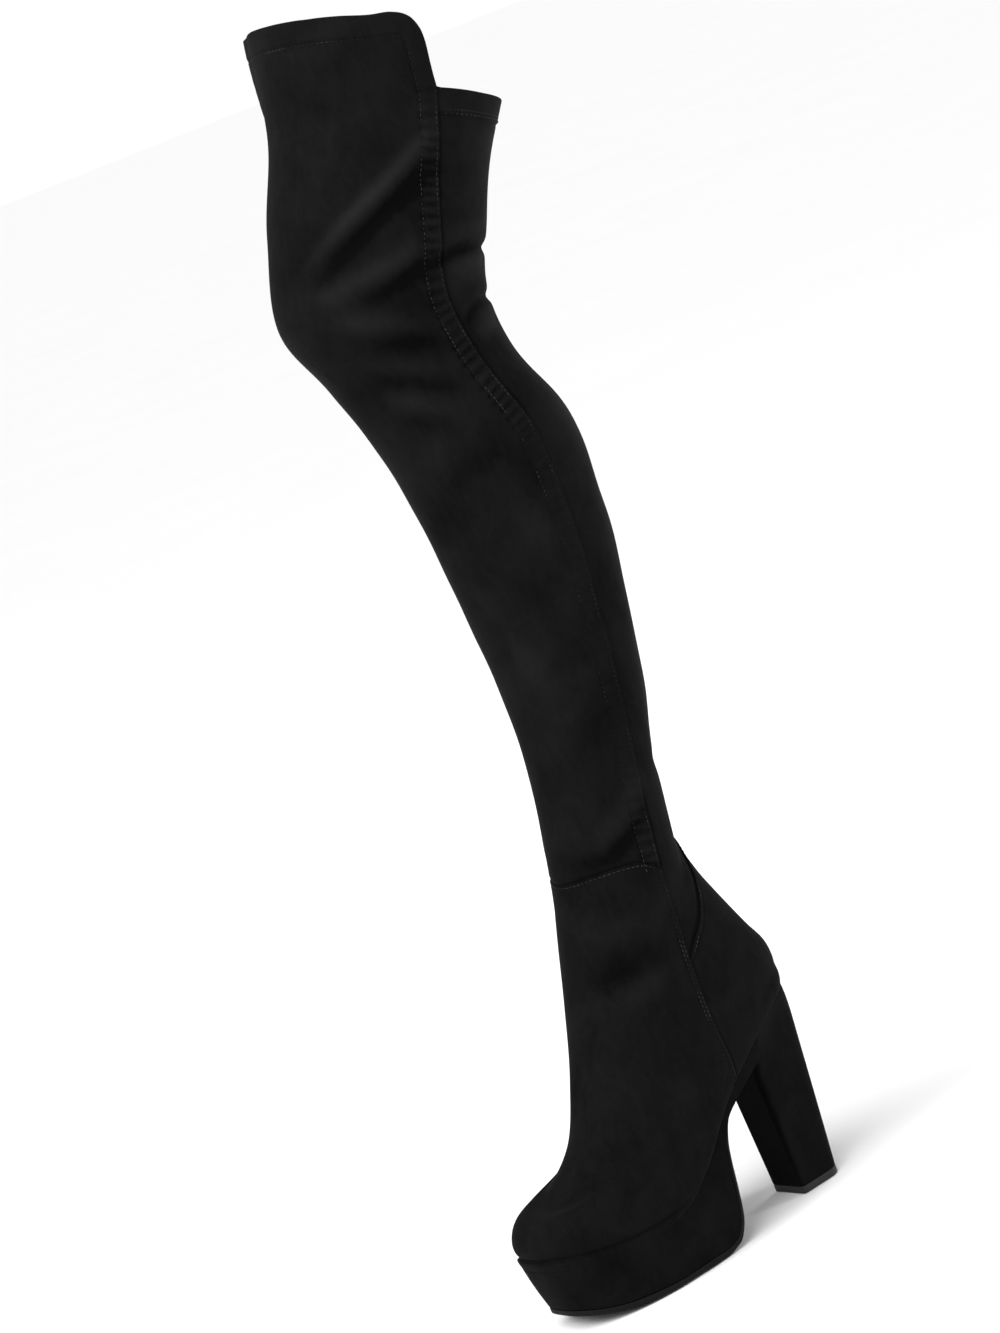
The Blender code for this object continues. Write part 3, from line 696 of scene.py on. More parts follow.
def noise(tree, coordinates, scale, detail=3.0, roughness=0.55, distortion=0.0):
    node = tree.nodes.new("ShaderNodeTexNoise")
    set_inputs(tree, node, Vector=coordinates, Scale=scale, Detail=detail, Roughness=roughness,
               Distortion=distortion)
    return node.outputs["Fac"]


def math_node(tree, operation, first, second):
    node = tree.nodes.new("ShaderNodeMath")
    node.operation = operation
    feed(tree, first, node.inputs[0])
    feed(tree, second, node.inputs[1])
    return node.outputs[0]


def plus(tree, first, second):
    return math_node(tree, "ADD", first, second)


def times(tree, first, second):
    return math_node(tree, "MULTIPLY", first, second)


def above_middle(tree, fac):
    """Noise brought to lie round 0."""
    return math_node(tree, "SUBTRACT", fac, 0.5)


def shaded(tree, colour, level):
    """A colour made lighter or darker."""
    node = tree.nodes.new("ShaderNodeVectorMath")
    node.operation = "SCALE"
    feed(tree, colour, node.inputs[0])
    feed(tree, level, node.inputs["Scale"])
    return node.outputs[0]


def object_space(tree, scale=(1, 1, 1)):
    """Object coordinates, squeezed or drawn out along each axis."""
    coordinates = tree.nodes.new("ShaderNodeTexCoord")
    mapping = tree.nodes.new("ShaderNodeMapping")
    set_inputs(tree, mapping, Scale=scale, Vector=coordinates.outputs["Object"])
    return mapping.outputs["Vector"]


def add_bump(tree, shader, height, distance, strength):
    bump = tree.nodes.new("ShaderNodeBump")
    set_inputs(tree, bump, Distance=distance, Strength=strength, Height=height)
    feed(tree, bump.outputs["Normal"], shader.inputs["Normal"])


def nap_and_shading_group():
    """Brushed nap: cloudy and streaky tone and short fibres for the bump, with painted highlight on the
    ridges and painted shade in the troughs and grooves.
    """
    group = bpy.data.node_groups.new("brushed_nap_and_shading", "ShaderNodeTree")
    sockets = (
        ("Colour", "INPUT", "Color"), ("Cloud", "INPUT", "Float"), ("Ridge", "INPUT", "Float"),
        ("Colour", "OUTPUT", "Color"), ("Roughness", "OUTPUT", "Float"), ("Height", "OUTPUT", "Float"),
    )
    for name, way, kind in sockets:
        group.interface.new_socket(name, in_out=way, socket_type="NodeSocket" + kind)
    given = group.nodes.new("NodeGroupInput").outputs
    plain = object_space(group)
    cloud = noise(group, plain, 26, 4, 0.6, 0.6)
    brushed = noise(group, object_space(group, (1, 1, 0.45)), 170, 3, 0.6, 0.8)
    fibre = noise(group, plain, 2100, 2, 0.7)
    mixed = plus(group, times(group, cloud, 0.62), times(group, brushed, 0.38))
    spread = times(group, above_middle(group, mixed), given["Cloud"])
    # Painted highlight and shade: the relief's fold attribute, times the Ridge gain, lightens the colour on
    # ridges and darkens it in troughs and grooves.
    fold = group.nodes.new("ShaderNodeAttribute")
    fold.attribute_name = "fold"
    lift = times(group, fold.outputs["Fac"], given["Ridge"])
    fine = times(group, above_middle(group, fibre), 0.9)
    level = plus(group, plus(group, 1.0, spread), plus(group, lift, fine))
    level = math_node(group, "MAXIMUM", level, 0.3)
    set_inputs(group, group.nodes.new("NodeGroupOutput"),
               Colour=shaded(group, given["Colour"], level),
               Roughness=math_node(group, "SUBTRACT", 1.02, times(group, mixed, 0.28)),
               Height=plus(group, times(group, fibre, 0.7), times(group, brushed, 0.5)))
    return group


def suede(name, colour, cloud, ridge):
    made, tree, shader = new_look(name, Specular_IOR_Level=0.04, Sheen_Weight=0.04, Sheen_Roughness=0.3,
                                  Sheen_Tint=(0.55, 0.55, 0.56, 1))
    nap = tree.nodes.new("ShaderNodeGroup")
    nap.node_tree = NAP_AND_SHADING
    # ridge sets how strongly the painted highlight on ridges and painted shade in troughs show.
    set_inputs(tree, nap, Colour=(*colour, 1), Cloud=cloud, Ridge=ridge)
    set_inputs(tree, shader, Base_Color=nap.outputs["Colour"], Roughness=nap.outputs["Roughness"])
    add_bump(tree, shader, nap.outputs["Height"], 0.00035, 0.5)
    return made


def ribbed(name, colour, roughness, pitch, depth, specular):
    """A knitted or woven surface with fine ribs across the boot's height."""
    made, tree, shader = new_look(name, Specular_IOR_Level=specular)
    place = object_space(tree)
    wave = tree.nodes.new("ShaderNodeTexWave")
    wave.bands_direction = "Z"
    set_inputs(tree, wave, Scale=0.314 / (pitch * MM), Distortion=0.4, Vector=place)
    grain = times(tree, noise(tree, place, 900, 3), 0.4)
    wide = noise(tree, place, 40, 3)
    level = plus(tree, times(tree, wave.outputs["Fac"], 0.35), grain)
    tone = plus(tree, level, times(tree, wide, 0.7))
    set_inputs(tree, shader, Base_Color=shaded(tree, colour, tone),
               Roughness=plus(tree, roughness - 0.1, times(tree, wide, 0.2)))
    add_bump(tree, shader, level, depth * MM, 0.6)
    return made


def patchy_thread(name, dull, bright):
    """Thread that sits deep in the nap, and catches the light only here and there."""
    made, tree, shader = new_look(name, Specular_IOR_Level=0.15, Roughness=0.65)
    patches = noise(tree, object_space(tree), 48, 2)
    lit = times(tree, above_middle(tree, patches), 9.0)
    lit.node.use_clamp = True
    feed(tree, plus(tree, dull, times(tree, lit, bright - dull)), shader.inputs["Base Color"])
    return made


def grained(name, colour, roughness, scale, depth, metallic=0.0, specular=0.5):
    """A plain surface with fine grain and slow changes of shade and gloss."""
    made, tree, shader = new_look(name, Metallic=metallic, Specular_IOR_Level=specular)
    place = object_space(tree)
    grain = noise(tree, place, scale, 4)
    wide = noise(tree, place, scale / 18, 3)
    tone = plus(tree, plus(tree, 0.62, times(tree, wide, 0.5)), times(tree, grain, 0.25))
    set_inputs(tree, shader, Base_Color=shaded(tree, colour, tone),
               Roughness=plus(tree, roughness - 0.09, times(tree, wide, 0.18)))
    add_bump(tree, shader, grain, depth * MM, 0.5)
    return made


def matt_paper():
    """Matt white paper."""
    made, tree, shader = new_look("studio_paper", Specular_IOR_Level=0.1, Roughness=0.9)
    grain = noise(tree, object_space(tree), 3, 2)
    feed(tree, plus(tree, 0.93, times(tree, grain, 0.03)), shader.inputs["Base Color"])
    return made


# ---- mesh helpers


def put(shape, points):
    for vert, point in zip(shape.verts, world(points)):
        vert.co = point


def mark(shape, name, values):
    """A named value at each point of a shape."""
    layer = shape.verts.layers.float.new(name)
    for vert, value in zip(shape.verts, values):
        vert[layer] = float(value)


def box(size, centre=(0, 0, 0)):
    """A box with its sizes along x, y and z."""
    shape = bmesh.new()
    matrix = Matrix.Translation(centre) @ Matrix.Diagonal((*size, 1))
    bmesh.ops.create_cube(shape, size=1.0, matrix=matrix)
    return shape


def bevel(shape, edges, width, steps):
    bmesh.ops.bevel(shape, geom=edges, offset=width, segments=steps, profile=0.5, affect="EDGES",
                    material=-1)


def bevel_sharp(shape, width, steps, least=0.5):
    """Every edge that turns by more than the least angle, made round."""
    shape.normal_update()
    sharp = [edge for edge in shape.edges if len(edge.link_faces) == 2 and edge.calc_face_angle() > least]
    bevel(shape, sharp, width, steps)


def as_mesh(name, shape):
    mesh = bpy.data.meshes.new(name)
    shape.to_mesh(mesh)
    shape.free()
    return mesh


def add_mesh(shape, mesh):
    """The mesh's faces join the shape, and the mesh is gone."""
    shape.from_mesh(mesh)
    bpy.data.meshes.remove(mesh)
    return shape


def carry(shape, matrix):
    """The shape goes to its place on the boot, its faces turned outward."""
    bmesh.ops.transform(shape, matrix=matrix, verts=shape.verts)
    bmesh.ops.recalc_face_normals(shape, faces=shape.faces)


def finish_piece(name, shape, look, stands_for, body="boot"):
    """The shape as a smooth object that rides on a body, in place of nodes of the CAD."""
    mesh = as_mesh(name, shape)
    mesh.polygons.foreach_set("use_smooth", np.ones(len(mesh.polygons), bool))
    mesh.materials.append(look)
    obj = linked(name, mesh)
    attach(obj, body)
    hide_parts(*stands_for)
    return obj


def repeated(template, places):
    """One bmesh with a copy of the template at each place."""
    corners = np.array([(*vert.co, 1) for vert in template.verts])
    faces = [np.array([vert.index for vert in face.verts]) for face in template.faces]
    template.free()
    points = np.concatenate([(corners @ np.array(place).T)[:, :3] for place in places])
    copies = [(face + n * len(corners)).tolist() for n in range(len(places)) for face in faces]
    mesh = bpy.data.meshes.new("copies")
    mesh.from_pydata(points, [], copies)
    return add_mesh(bmesh.new(), mesh)


def thicken(obj, wall):
    """Thickness given inward."""
    shell = obj.modifiers.new("wall", "SOLIDIFY")
    shell.thickness = wall * MM
    shell.offset = -1
    shell.use_rim = True


def turn_out(shape, away_from):
    """Faces turned so that they look away from a point given for each of them."""
    shape.normal_update()
    total = sum(face.normal.dot(face.calc_center_median() - away_from(face)) for face in shape.faces)
    if total < 0:
        bmesh.ops.reverse_faces(shape, faces=shape.faces)


# Height, and how far ahead the middle of the foot or leg lies there.
LEG_MIDDLE = ((60, 115), (150, 84), (215, 78), (330, 58), (440, 52), (590, 84), (750, 26))


def leg_axis(face):
    """Middle of the foot or leg beside a face."""
    height = face.calc_center_median().z / MM
    return Vector((0, (ORIGIN_U - straight(LEG_MIDDLE, height)) * MM, height * MM))


def crowd(share, amount):
    """Shares drawn toward both ends."""
    return share - amount * np.sin(2 * np.pi * share) / (2 * np.pi)


def laid_sheet(columns, rows, place):
    """A grid laid on the boot. place gives the points and each one's painted shading from its relief."""
    shape = bmesh.new()
    bmesh.ops.create_grid(shape, x_segments=columns, y_segments=rows, size=0.5)
    at = np.array([vert.co for vert in shape.verts]) + 0.5
    points, fold = place(at[:, 0], at[:, 1])
    put(shape, points)
    mark(shape, "fold", fold)
    turn_out(shape, leg_axis)
    return shape


# A hemmed panel: the share of its rows below the edge, the radius of the edge's roll and the facing's depth.
HEM_START, FOLD_ROLL, FACING = 0.955, 0.9, 8.0
# The lining starts this far below the collar's edge.
LINING_DROP = 7.6
# How fast a gap's pull dies out across a panel, and how late the rows bend toward the stepped collar.
EDGE_PULL, COLLAR_BEND = 6, 7
# A crease this high, in millimetres, gets the strongest painted highlight; a trough this deep gets the
# strongest painted shade.
LIGHTEST_FOLD = 3


def panel_place(left, right, low, high, relief, gaps=(no_gap, no_gap), hemmed=False, depth=0.0, bend=1):
    """Places a grid between two side lines and two end lines of the upper.

    Gaps give how far the edges at the two side lines are drawn in, which only the nearest columns follow.
    A high bend keeps the rows level until they come near a stepped upper end.
    """
    outer_share = HEM_START if hemmed else 1.0
    crown = np.max(high(np.linspace(left(600.0), right(600.0), 181)))

    def place(s, t):
        s = crowd(s, 0.55)
        up = crowd(np.clip(t / outer_share, 0, 1), 0.25)
        v = np.full_like(s, 300.0)
        for _ in range(8):
            a = left(v) + (right(v) - left(v)) * s
            v = low(a) + (crown - low(a)) * up + (high(a) - crown) * up**bend
        a = a + gaps[0](v) * (1 - s) ** EDGE_PULL - gaps[1](v) * s**EDGE_PULL
        turned = 0
        if hemmed:
            a, v, turned = folded_in(a, v, np.clip((t - outer_share) / (1 - outer_share), 0, 1))
        base = upper(a, v)
        height, shade = relief(base, a, v)
        points = base + outward(a, v) * (height - depth)[:, None] + turned
        # The relief's shade part becomes painted shading of the suede: painted highlight where it stands
        # out, painted shade where it sinks.
        return points, np.clip(shade / LIGHTEST_FOLD, -1, 1)

    return place


def folded_in(a, v, past):
    """The cloth past the collar's edge rolls inward, then runs down inside as the facing.

    Gives the turn and way up that it lies over, and its shift from the surface there.
    """
    rolled = np.clip(past / 0.4, 0, 1) * np.pi
    back = np.clip((past - 0.4) / 0.6, 0, 1) * FACING
    across, rise = edge_direction(a, v)
    lip = tangent(a, v, across, rise)
    a = a - across * back / millimetres_per_degree(a, v)
    v = v - rise * back
    inward = outward(a, v) * (np.cos(rolled) - 1)[:, None]
    turned = FOLD_ROLL * (lip * np.sin(rolled)[:, None] + inward)
    return a, v, np.where((past > 0)[:, None], turned, 0)


def edge_direction(a, v):
    """Unit direction across the collar's edge in the surface: its part round the leg and its part up."""
    step = millimetres_per_degree(a, v)
    slope = (collar(a + 0.4) - collar(a - 0.4)) / (0.8 * step)
    size = np.sqrt(1 + slope**2)
    return -slope / size, 1 / size


def tangent(a, v, across, rise):
    """A direction in the surface as one in the room."""
    around = unit(upper(a + 0.1, v) - upper(a - 0.1, v))
    v = np.clip(v, 1, HEIGHT - 1)
    upward = unit(upper(a, v) - upper(a, v - 1))
    return around * np.reshape(across, (-1, 1)) + upward * np.reshape(rise, (-1, 1))


def disc(x, y):
    """Square to disc: share of a turn and reach from the middle, for coordinates from -1 to 1."""
    wide = np.abs(x) >= np.abs(y)
    safe_x, safe_y = np.where(x == 0, 1e-9, x), np.where(y == 0, 1e-9, y)
    angle = np.where(wide, np.pi / 4 * y / safe_x, np.pi / 2 - np.pi / 4 * x / safe_y)
    reach = np.where(wide, x, y)
    turn = np.arctan2(reach * np.sin(angle), reach * np.cos(angle)) / (2 * np.pi) % 1.0
    return turn, np.abs(reach)


def smooth_disc(x, y):
    """Square to disc with no creases along the square's diagonals."""
    across, along_y = x * np.sqrt(1 - y * y / 2), y * np.sqrt(1 - x * x / 2)
    return np.arctan2(along_y, across) / (2 * np.pi) % 1.0, np.hypot(across, along_y)


def block(cells, cuts, place, rim, nap=None, spread=disc):
    """A closed solid: a square grid pulled into a disc, extruded, its wall cut in rings, then placed.

    The rim is the radius of its two edges. nap gives how much lighter or darker the suede is painted at each
    point.
    """
    shape = bmesh.new()
    bmesh.ops.create_grid(shape, x_segments=cells, y_segments=cells, size=1.0)
    flat = np.array([vert.co for vert in shape.verts])
    for name, values in zip(("turn", "reach"), spread(flat[:, 0], flat[:, 1])):
        mark(shape, name, values)
    mark(shape, "level", 0 * flat[:, 0])
    turn, reach, level = (shape.verts.layers.float[name] for name in ("turn", "reach", "level"))
    made = bmesh.ops.extrude_face_region(shape, geom=shape.faces[:], use_keep_orig=True)
    for item in made["geom"]:
        if isinstance(item, bmesh.types.BMVert):
            item[level] = 1.0
    upright = [edge for edge in shape.edges if edge.verts[0][level] != edge.verts[1][level]]
    bmesh.ops.subdivide_edges(shape, edges=upright, cuts=cuts, use_grid_fill=True)
    points = place(*np.array([[vert[layer] for layer in (turn, reach, level)] for vert in shape.verts]).T)
    put(shape, points)
    # Painted shading of the suede at each point, through the same attribute as the relief's.
    if nap:
        mark(shape, "fold", nap(points))
    bmesh.ops.recalc_face_normals(shape, faces=shape.faces)
    outer = [edge for edge in shape.edges if all(vert[reach] > 0.999 for vert in edge.verts)]
    ends = [edge for edge in outer if {vert[level] for vert in edge.verts} in ({0.0}, {1.0})]
    bevel(shape, ends, rim * MM, 2)
    return shape


def walk(path, share):
    """Point at a share of a path's length."""
    path = np.array(path, float)
    run = run_of(path)
    return at_run(path, run, np.asarray(share) * run[-1])


def feather_plan(a, grow):
    """Plan of the feather line, moved outward."""
    ahead = upper(a + 0.1, 0.0)[..., :2] - upper(a - 0.1, 0.0)[..., :2]
    out = unit(np.stack([-ahead[..., 1], ahead[..., 0]], -1))
    return upper(a, 0.0)[..., :2] + out * np.reshape(grow, (-1, 1))


# ---- the upper's panels


def lining_top(a):
    """The lining meets the lower edge of the collar's facing."""
    return np.min([collar(a + share * LINING_DROP / 1.1) - LINING_DROP * np.sqrt(1 - share**2)
                   for share in np.linspace(-1, 1, 21)], axis=0)


def under_counter(a):
    return counter_top(a) - 4


def lining_foot(a):
    return 0 * a + 1.0


def build_panels():
    """Four outer panels, each with its cells round and up and its thickness, and the lining."""
    front, back = (inner_seam, side_seam), (side_seam, inner_seam_behind)
    ahead, behind = (slot_half, no_gap), (no_gap, slot_half)
    collared = {"hemmed": True, "bend": COLLAR_BEND}
    panels = {
        "shaft_front": (118, 330, 0.85, panel_place(*front, ankle, collar, relief_front, ahead, **collared)),
        "shaft_back": (112, 340, 0.85,
                       panel_place(*back, under_counter, collar, relief_back, behind, **collared)),
        "vamp": (140, 132, 0.9, panel_place(*front, no_gap, ankle, relief_vamp, ahead)),
        "counter": (110, 86, 1.0, panel_place(*back, no_gap, counter_top, relief_counter, behind)),
    }
    for name, (round_leg, up_leg, wall, place) in panels.items():
        sheet = laid_sheet(round_leg, up_leg, place)
        thicken(finish_piece(name, sheet, SUEDE, ["upper"]), wall)
    inside = panel_place(inner_seam, inner_seam_behind, lining_foot, lining_top, relief_lining,
                         (slot_half, slot_half), depth=1.05, bend=COLLAR_BEND)
    thicken(finish_piece("lining", laid_sheet(120, 220, inside), LINING, ["upper"]), 0.7)


# ---- stitches

# Length, pitch and thread of the plain stitches, and of the bold ones round the collar's back.
STITCH, BOLD_STITCH = (2.0, 2.9, 0.46), (2.2, 3.8, 0.75)


def inset_line(flat, distance):
    """A line moved sideways in the surface; a positive distance moves it to the left of its run."""
    a, v = flat.T
    step = millimetres_per_degree(a, v)
    along_a = np.gradient(a) * step
    along_v = np.gradient(v)
    size = np.hypot(along_a, along_v)
    return np.stack([a - along_v / size * distance / step, v + along_a / size * distance], 1)


def stitch_row(places, flat, relief, lift=0.05, bold=False):
    """Stitches end to end along a line of turn and way up points."""
    length, pitch, thick = BOLD_STITCH if bold else STITCH
    a, v = flat.T
    base = upper(a, v)
    points = base + outward(a, v) * (relief(base, a, v)[0] + lift - 0.2 * below_knee(v))[:, None]
    run = run_of(points)
    starts = np.arange(0.5, run[-1] - length, pitch)
    ends = world(at_run(points, run, np.stack([starts, starts + length], 1)))
    places += [stitch_place(Vector(start), Vector(end), thick) for start, end in ends]


def stitch_place(start, end, thick):
    """Where one stitch goes: a rod of unit radius and half-length, turned and sized."""
    turn = (end - start).to_track_quat("Z", "Y").to_matrix().to_4x4()
    size = Matrix.Diagonal((thick / 2 * MM, thick / 2 * MM, (end - start).length / 2, 1))
    return Matrix.Translation((start + end) / 2) @ turn @ size


def rod():
    """A short rod with round ends."""
    shape = bmesh.new()
    bmesh.ops.create_uvsphere(shape, u_segments=6, v_segments=5, radius=1.0)
    return shape


def front_edge_line():
    """The front panel's outer edge: up the lateral seam, round the collar and down the medial seam."""
    side, over, inner = (LINES[name]["flat"] for name in ("side", "collar_front", "inner"))
    return np.concatenate([side[::4], over[::-1][8:-8:4], inner[::-1][::4]])


def resampled(flat, count):
    """The line again in even steps, its corners a little rounded."""
    run = run_of(upper(*flat.T))
    line = at_run(flat, run, np.linspace(0, run[-1], count))
    kernel = np.ones(9) / 9
    padded = np.pad(line, ((4, 4), (0, 0)), mode="edge")
    return np.stack([np.convolve(part, kernel, "valid") for part in padded.T], 1)


def build_stitches():
    """Rows along the hems, beside the seams, along the ankle and the counter, and beside the zip."""
    flat = {name: line["flat"] for name, line in LINES.items()}
    hem_line = inset_line(resampled(front_edge_line(), 900), HEM_FRONT)
    back_hem = flat["collar_back"][12:-12] - (0, HEM_BACK)
    ladder = flat["ladder"][15:]
    rows = [
        (resampled(hem_line, 1200), relief_front),
        (inset_line(flat["side"], BESIDE_SEAM), relief_front),
        (inset_line(flat["inner"], -BESIDE_SEAM), relief_front),
        (flat["ankle"][20:-6] - (0, UNDER_ANKLE), relief_vamp),
        (inset_line(ladder, BESIDE_LADDER), relief_vamp),
        (inset_line(ladder, SECOND_ROW), relief_vamp),
        (flat["counter"][12:-14] - (0, UNDER_COUNTER), relief_counter),
    ]
    for name, inset, seam, above, below in (
        ("slot_front", -BESIDE_ZIP, ankle(-90.0), relief_front, relief_vamp),
        ("slot_back", BESIDE_ZIP, counter_top(263.0), relief_back, relief_counter),
    ):
        moved = inset_line(flat[name], inset)
        high = moved[:, 1] > seam + 1.5
        rows += [(moved[high], above), (moved[~high], below)]
    places = []
    for line, relief in rows:
        stitch_row(places, line, relief)
    stitch_row(places, back_hem, relief_back, 0.18, bold=True)
    stitch_row(places, back_hem + (0, OVER_HEM), relief_back, -0.05)
    finish_piece("stitches", repeated(rod(), places), THREAD_LOOK, ["upper"])


# ---- sole, heel and insole

SOLE_MIDDLE = np.array([-1.0, 138.0])
FOOTBED_MIDDLE = np.array([-1.0, 112.0])
HEEL_MIDDLE = np.array([0.0, 29.0])
TIP_MIDDLE = np.array([0.0, 30.0])
BREAST_TURN = 126.0
# How much narrower the outsole is at the waist.
WAIST_SLIM = 0.14


def spoke(middle, edge, reach):
    """Points between a middle and an edge."""
    return middle + (edge - middle) * reach[:, None]


def sole_outline():
    """Closed plan of the sole unit's top edge, from the toe past the lateral side."""
    turns = np.linspace(0, BREAST_TURN, 260)
    u = upper(turns, 0.0)[:, 1]
    lateral = feather_plan(turns, sole_grow(u))
    medial = feather_plan(-turns, sole_grow(u))
    return np.concatenate([lateral, medial[::-1]])


def sole_point(turn, reach, level):
    """Plan point inside the sole's outline; the lower edge is narrower and shorter at the toe."""
    edge = walk(SOLE_RING, turn)
    slim = 1 - 0.12 * np.clip((edge[:, 1] - 105) / 40, 0, 1)
    low = np.stack([edge[:, 0] * slim, edge[:, 1] - 5.5 * np.clip((edge[:, 1] - 150) / 71, 0, 1)], 1)
    return spoke(SOLE_MIDDLE, spoke(low, edge, level), reach)


def outsole_depth(u):
    return along(OUTSOLE, u)


def platform_depth(u):
    return outsole_depth(u) + GAP * (1.6 + 2.0 * bell(u - 108, 12))


def platform_place(turn, reach, level):
    """The wrapped platform, its wall a little swollen and uneven under the ball."""
    plan = sole_point(turn, reach, level)
    x, u = plan.T
    deck = feather(u, x) - SEAM_GAP
    belly = np.minimum(underside(u, x, platform_depth), deck - 2.0)
    height = belly * (1 - level) + deck * level
    side = (reach > 0.999) & (level > 0) & (level < 1)
    wave = np.sin(2 * np.pi * u / 46 + x / 15) * level * (1 - level)
    swell = (0.5 * np.sin(np.pi * level) + 0.25 * wave) * np.clip((u - 115) / 20, 0, 1)
    plan = plan + unit(plan - SOLE_MIDDLE + 1e-9) * np.where(side, swell, 0)[:, None]
    return np.column_stack([plan, height])


def outsole_place(turn, reach, level):
    plan = sole_point(turn, reach, 0 * level)
    plan[:, 0] *= 1 - 0.015 * (1 - level) - WAIST_SLIM * smooth(-plan[:, 1], -100, -70)
    x, u = plan.T
    belly = underside(u, x, platform_depth)
    top = np.minimum(underside(u, x, outsole_depth), belly - GAP)
    ground = np.maximum(np.minimum(underside(u, x), top - 1.2), 0)
    ground = ground + 0.9 * smooth(reach, 0.9, 1.0) * np.clip((u - 120) / 25, 0, 1)
    return np.column_stack([plan, ground * (1 - level) + top * level])


# The platform's cover is a little darker all over than the rest of the suede.
def platform_darker(points):
    return np.full(len(points), -0.10)


def insole_place(turn, reach, level):
    plan = spoke(FOOTBED_MIDDLE, feather_plan(turn * 360, -2.6), reach)
    x, u = plan.T
    return np.column_stack([plan, feather(u, x) + GAP / 2 + 2.4 * level])


def build_sole():
    cover = block(84, 12, platform_place, 0.15, platform_darker, smooth_disc)
    finish_piece("platform_cover", cover, SUEDE, ["platform"])
    sheet = block(84, 2, outsole_place, 0.5, spread=smooth_disc)
    finish_piece("outsole_sheet", sheet, RUBBER, ["outsole"])


def build_insole():
    finish_piece("footbed", block(44, 1, insole_place, 0.6), LINING, ["insole"])


# Share of a heel's half outline that runs round the side; the rest crosses the breast.
SIDE_SHARE = 0.8
# The heel's tip: the radii of its rear and front corners; and the half width and rear of its stem.
TIP_REAR, TIP_CORNER = 10.0, 2.5
STEM_HALF, STEM_BACK = 17.6, 2.0


def tip_side():
    """Plan of one side of the heel's tip, from the rear centre to the breast."""
    def arc(radius, u, start, end, count):
        turn = np.radians(np.linspace(start, end, count))
        return np.stack([TIP_HALF - radius + radius * np.cos(turn), u + radius * np.sin(turn)], 1)

    rear = arc(TIP_REAR, TIP_BACK + TIP_REAR, -90, 0, 24)
    return np.concatenate([[(0, TIP_BACK)], rear, arc(TIP_CORNER, TIP_FRONT - TIP_CORNER, 0, 90, 8)])


def seat_side(sign):
    """Plan of one side of the heel's seat, just inside the feather line."""
    stations = np.linspace(180, BREAST_TURN, 120) * sign
    ring = feather_plan(stations, -0.3)
    return np.concatenate([[[0, ring[0, 1]]], ring[1:]])


def half_outline(side, breast_u, share):
    """Point from the rear centre round one side, then across the breast to its middle."""
    round_side = walk(side, np.clip(share / SIDE_SHARE, 0, 1))
    breast = np.array([side[-1], (0, breast_u)])
    across = walk(breast, np.clip((share - SIDE_SHARE) / (1 - SIDE_SHARE), 0, 1))
    return np.where((share < SIDE_SHARE)[:, None], round_side, across)


def halves(turn):
    """Share of the half outline, and 1 on the lateral half or -1 on the medial one."""
    return 1 - np.abs(1 - 2 * turn), np.where(turn <= 0.5, 1.0, -1.0)


def tip_edge(turn):
    share, sign = halves(turn)
    return half_outline(tip_side(), TIP_FRONT, share) * np.stack([sign, np.ones_like(sign)], 1)


def heel_edge(turn, level):
    """Plan of the covered heel's outline at a level: a straight stem that flares out to the seat."""
    share, sign = halves(turn)
    tip = tip_edge(turn)
    stem = tip.copy()
    stem[:, 0] *= STEM_HALF / TIP_HALF
    stretch = (BREAST_U - 0.2 - STEM_BACK) / (TIP_FRONT - TIP_BACK)
    stem[:, 1] = STEM_BACK + (stem[:, 1] - TIP_BACK) * stretch
    sides = [half_outline(seat_side(side), BREAST_U, share) for side in (1, -1)]
    seat = np.where((sign > 0)[:, None], *sides)
    corner = smooth(seat[:, 1], 22, 50)
    flare = np.clip((level - 0.68) / 0.32, 0, 1) ** (2.3 - 0.8 * corner)
    return spoke(spoke(tip, stem, level), seat, flare)


def heel_place(turn, reach, level):
    plan = spoke(HEEL_MIDDLE, heel_edge(turn, level), reach)
    floor = LIFT + GAP
    top = feather(plan[:, 1], plan[:, 0]) - SEAM_GAP
    return np.column_stack([plan, floor + (top - floor) * level])


def lift_place(turn, reach, level):
    return np.column_stack([spoke(TIP_MIDDLE, tip_edge(turn), reach), LIFT * level])


def heel_front_shade(points):
    """Painted shade down the heel's front face, which lies in the shoe's shadow, and the whole heel a little
    darker.
    """
    return -0.36 * smooth(points[:, 1], 43, 48) - 0.05


def build_heel():
    finish_piece("heel_cover", block(40, 40, heel_place, 0.5, heel_front_shade), SUEDE, ["heel"])
    finish_piece("top_piece", block(32, 2, lift_place, 0.45), TOP_PIECE, ["heel_lift"])


# ---- the zip

# A coil turn's size across, along and out of the tape, and its middle's distance beside and under the line.
TOOTH, TOOTH_ASIDE, TOOTH_SUNK, TOOTH_PITCH = (2.0, 0.95, 1.3), 1.75, 0.55, 1.5
# Slider: half its width and height, its underside, its face and how far it narrows toward the foot.
SLIDER_HALF, SLIDER_RISE, SLIDER_SUNK, SLIDER_OUT, SLIDER_TAPER = 5.6, 7.5, -0.5, 3.1, 0.24
BRIDGE, BRIDGE_OUT = (3.0, 8.4, 3.8), 3.5
# Pull: the pin's distance out, the thickness, and the lines that its neck, eye, frame and window follow.
PIN_OUT, PULL_BAR = 4.6, 1.2
EYE_HALF, NECK_HALF, WINDOW_HALF = 2.5, 3.9, 4.3
NECK_FOOT, WINDOW_TOP, WINDOW_FOOT, EYE_TOP = -5.9, -8.4, -23.4, -0.6
PULL_COLUMNS = (-6.3, -WINDOW_HALF, -NECK_HALF, -EYE_HALF, EYE_HALF, NECK_HALF, WINDOW_HALF, 6.3)
PULL_ROWS = (-26.0, WINDOW_FOOT, WINDOW_TOP, NECK_FOOT, EYE_TOP, 0.6)


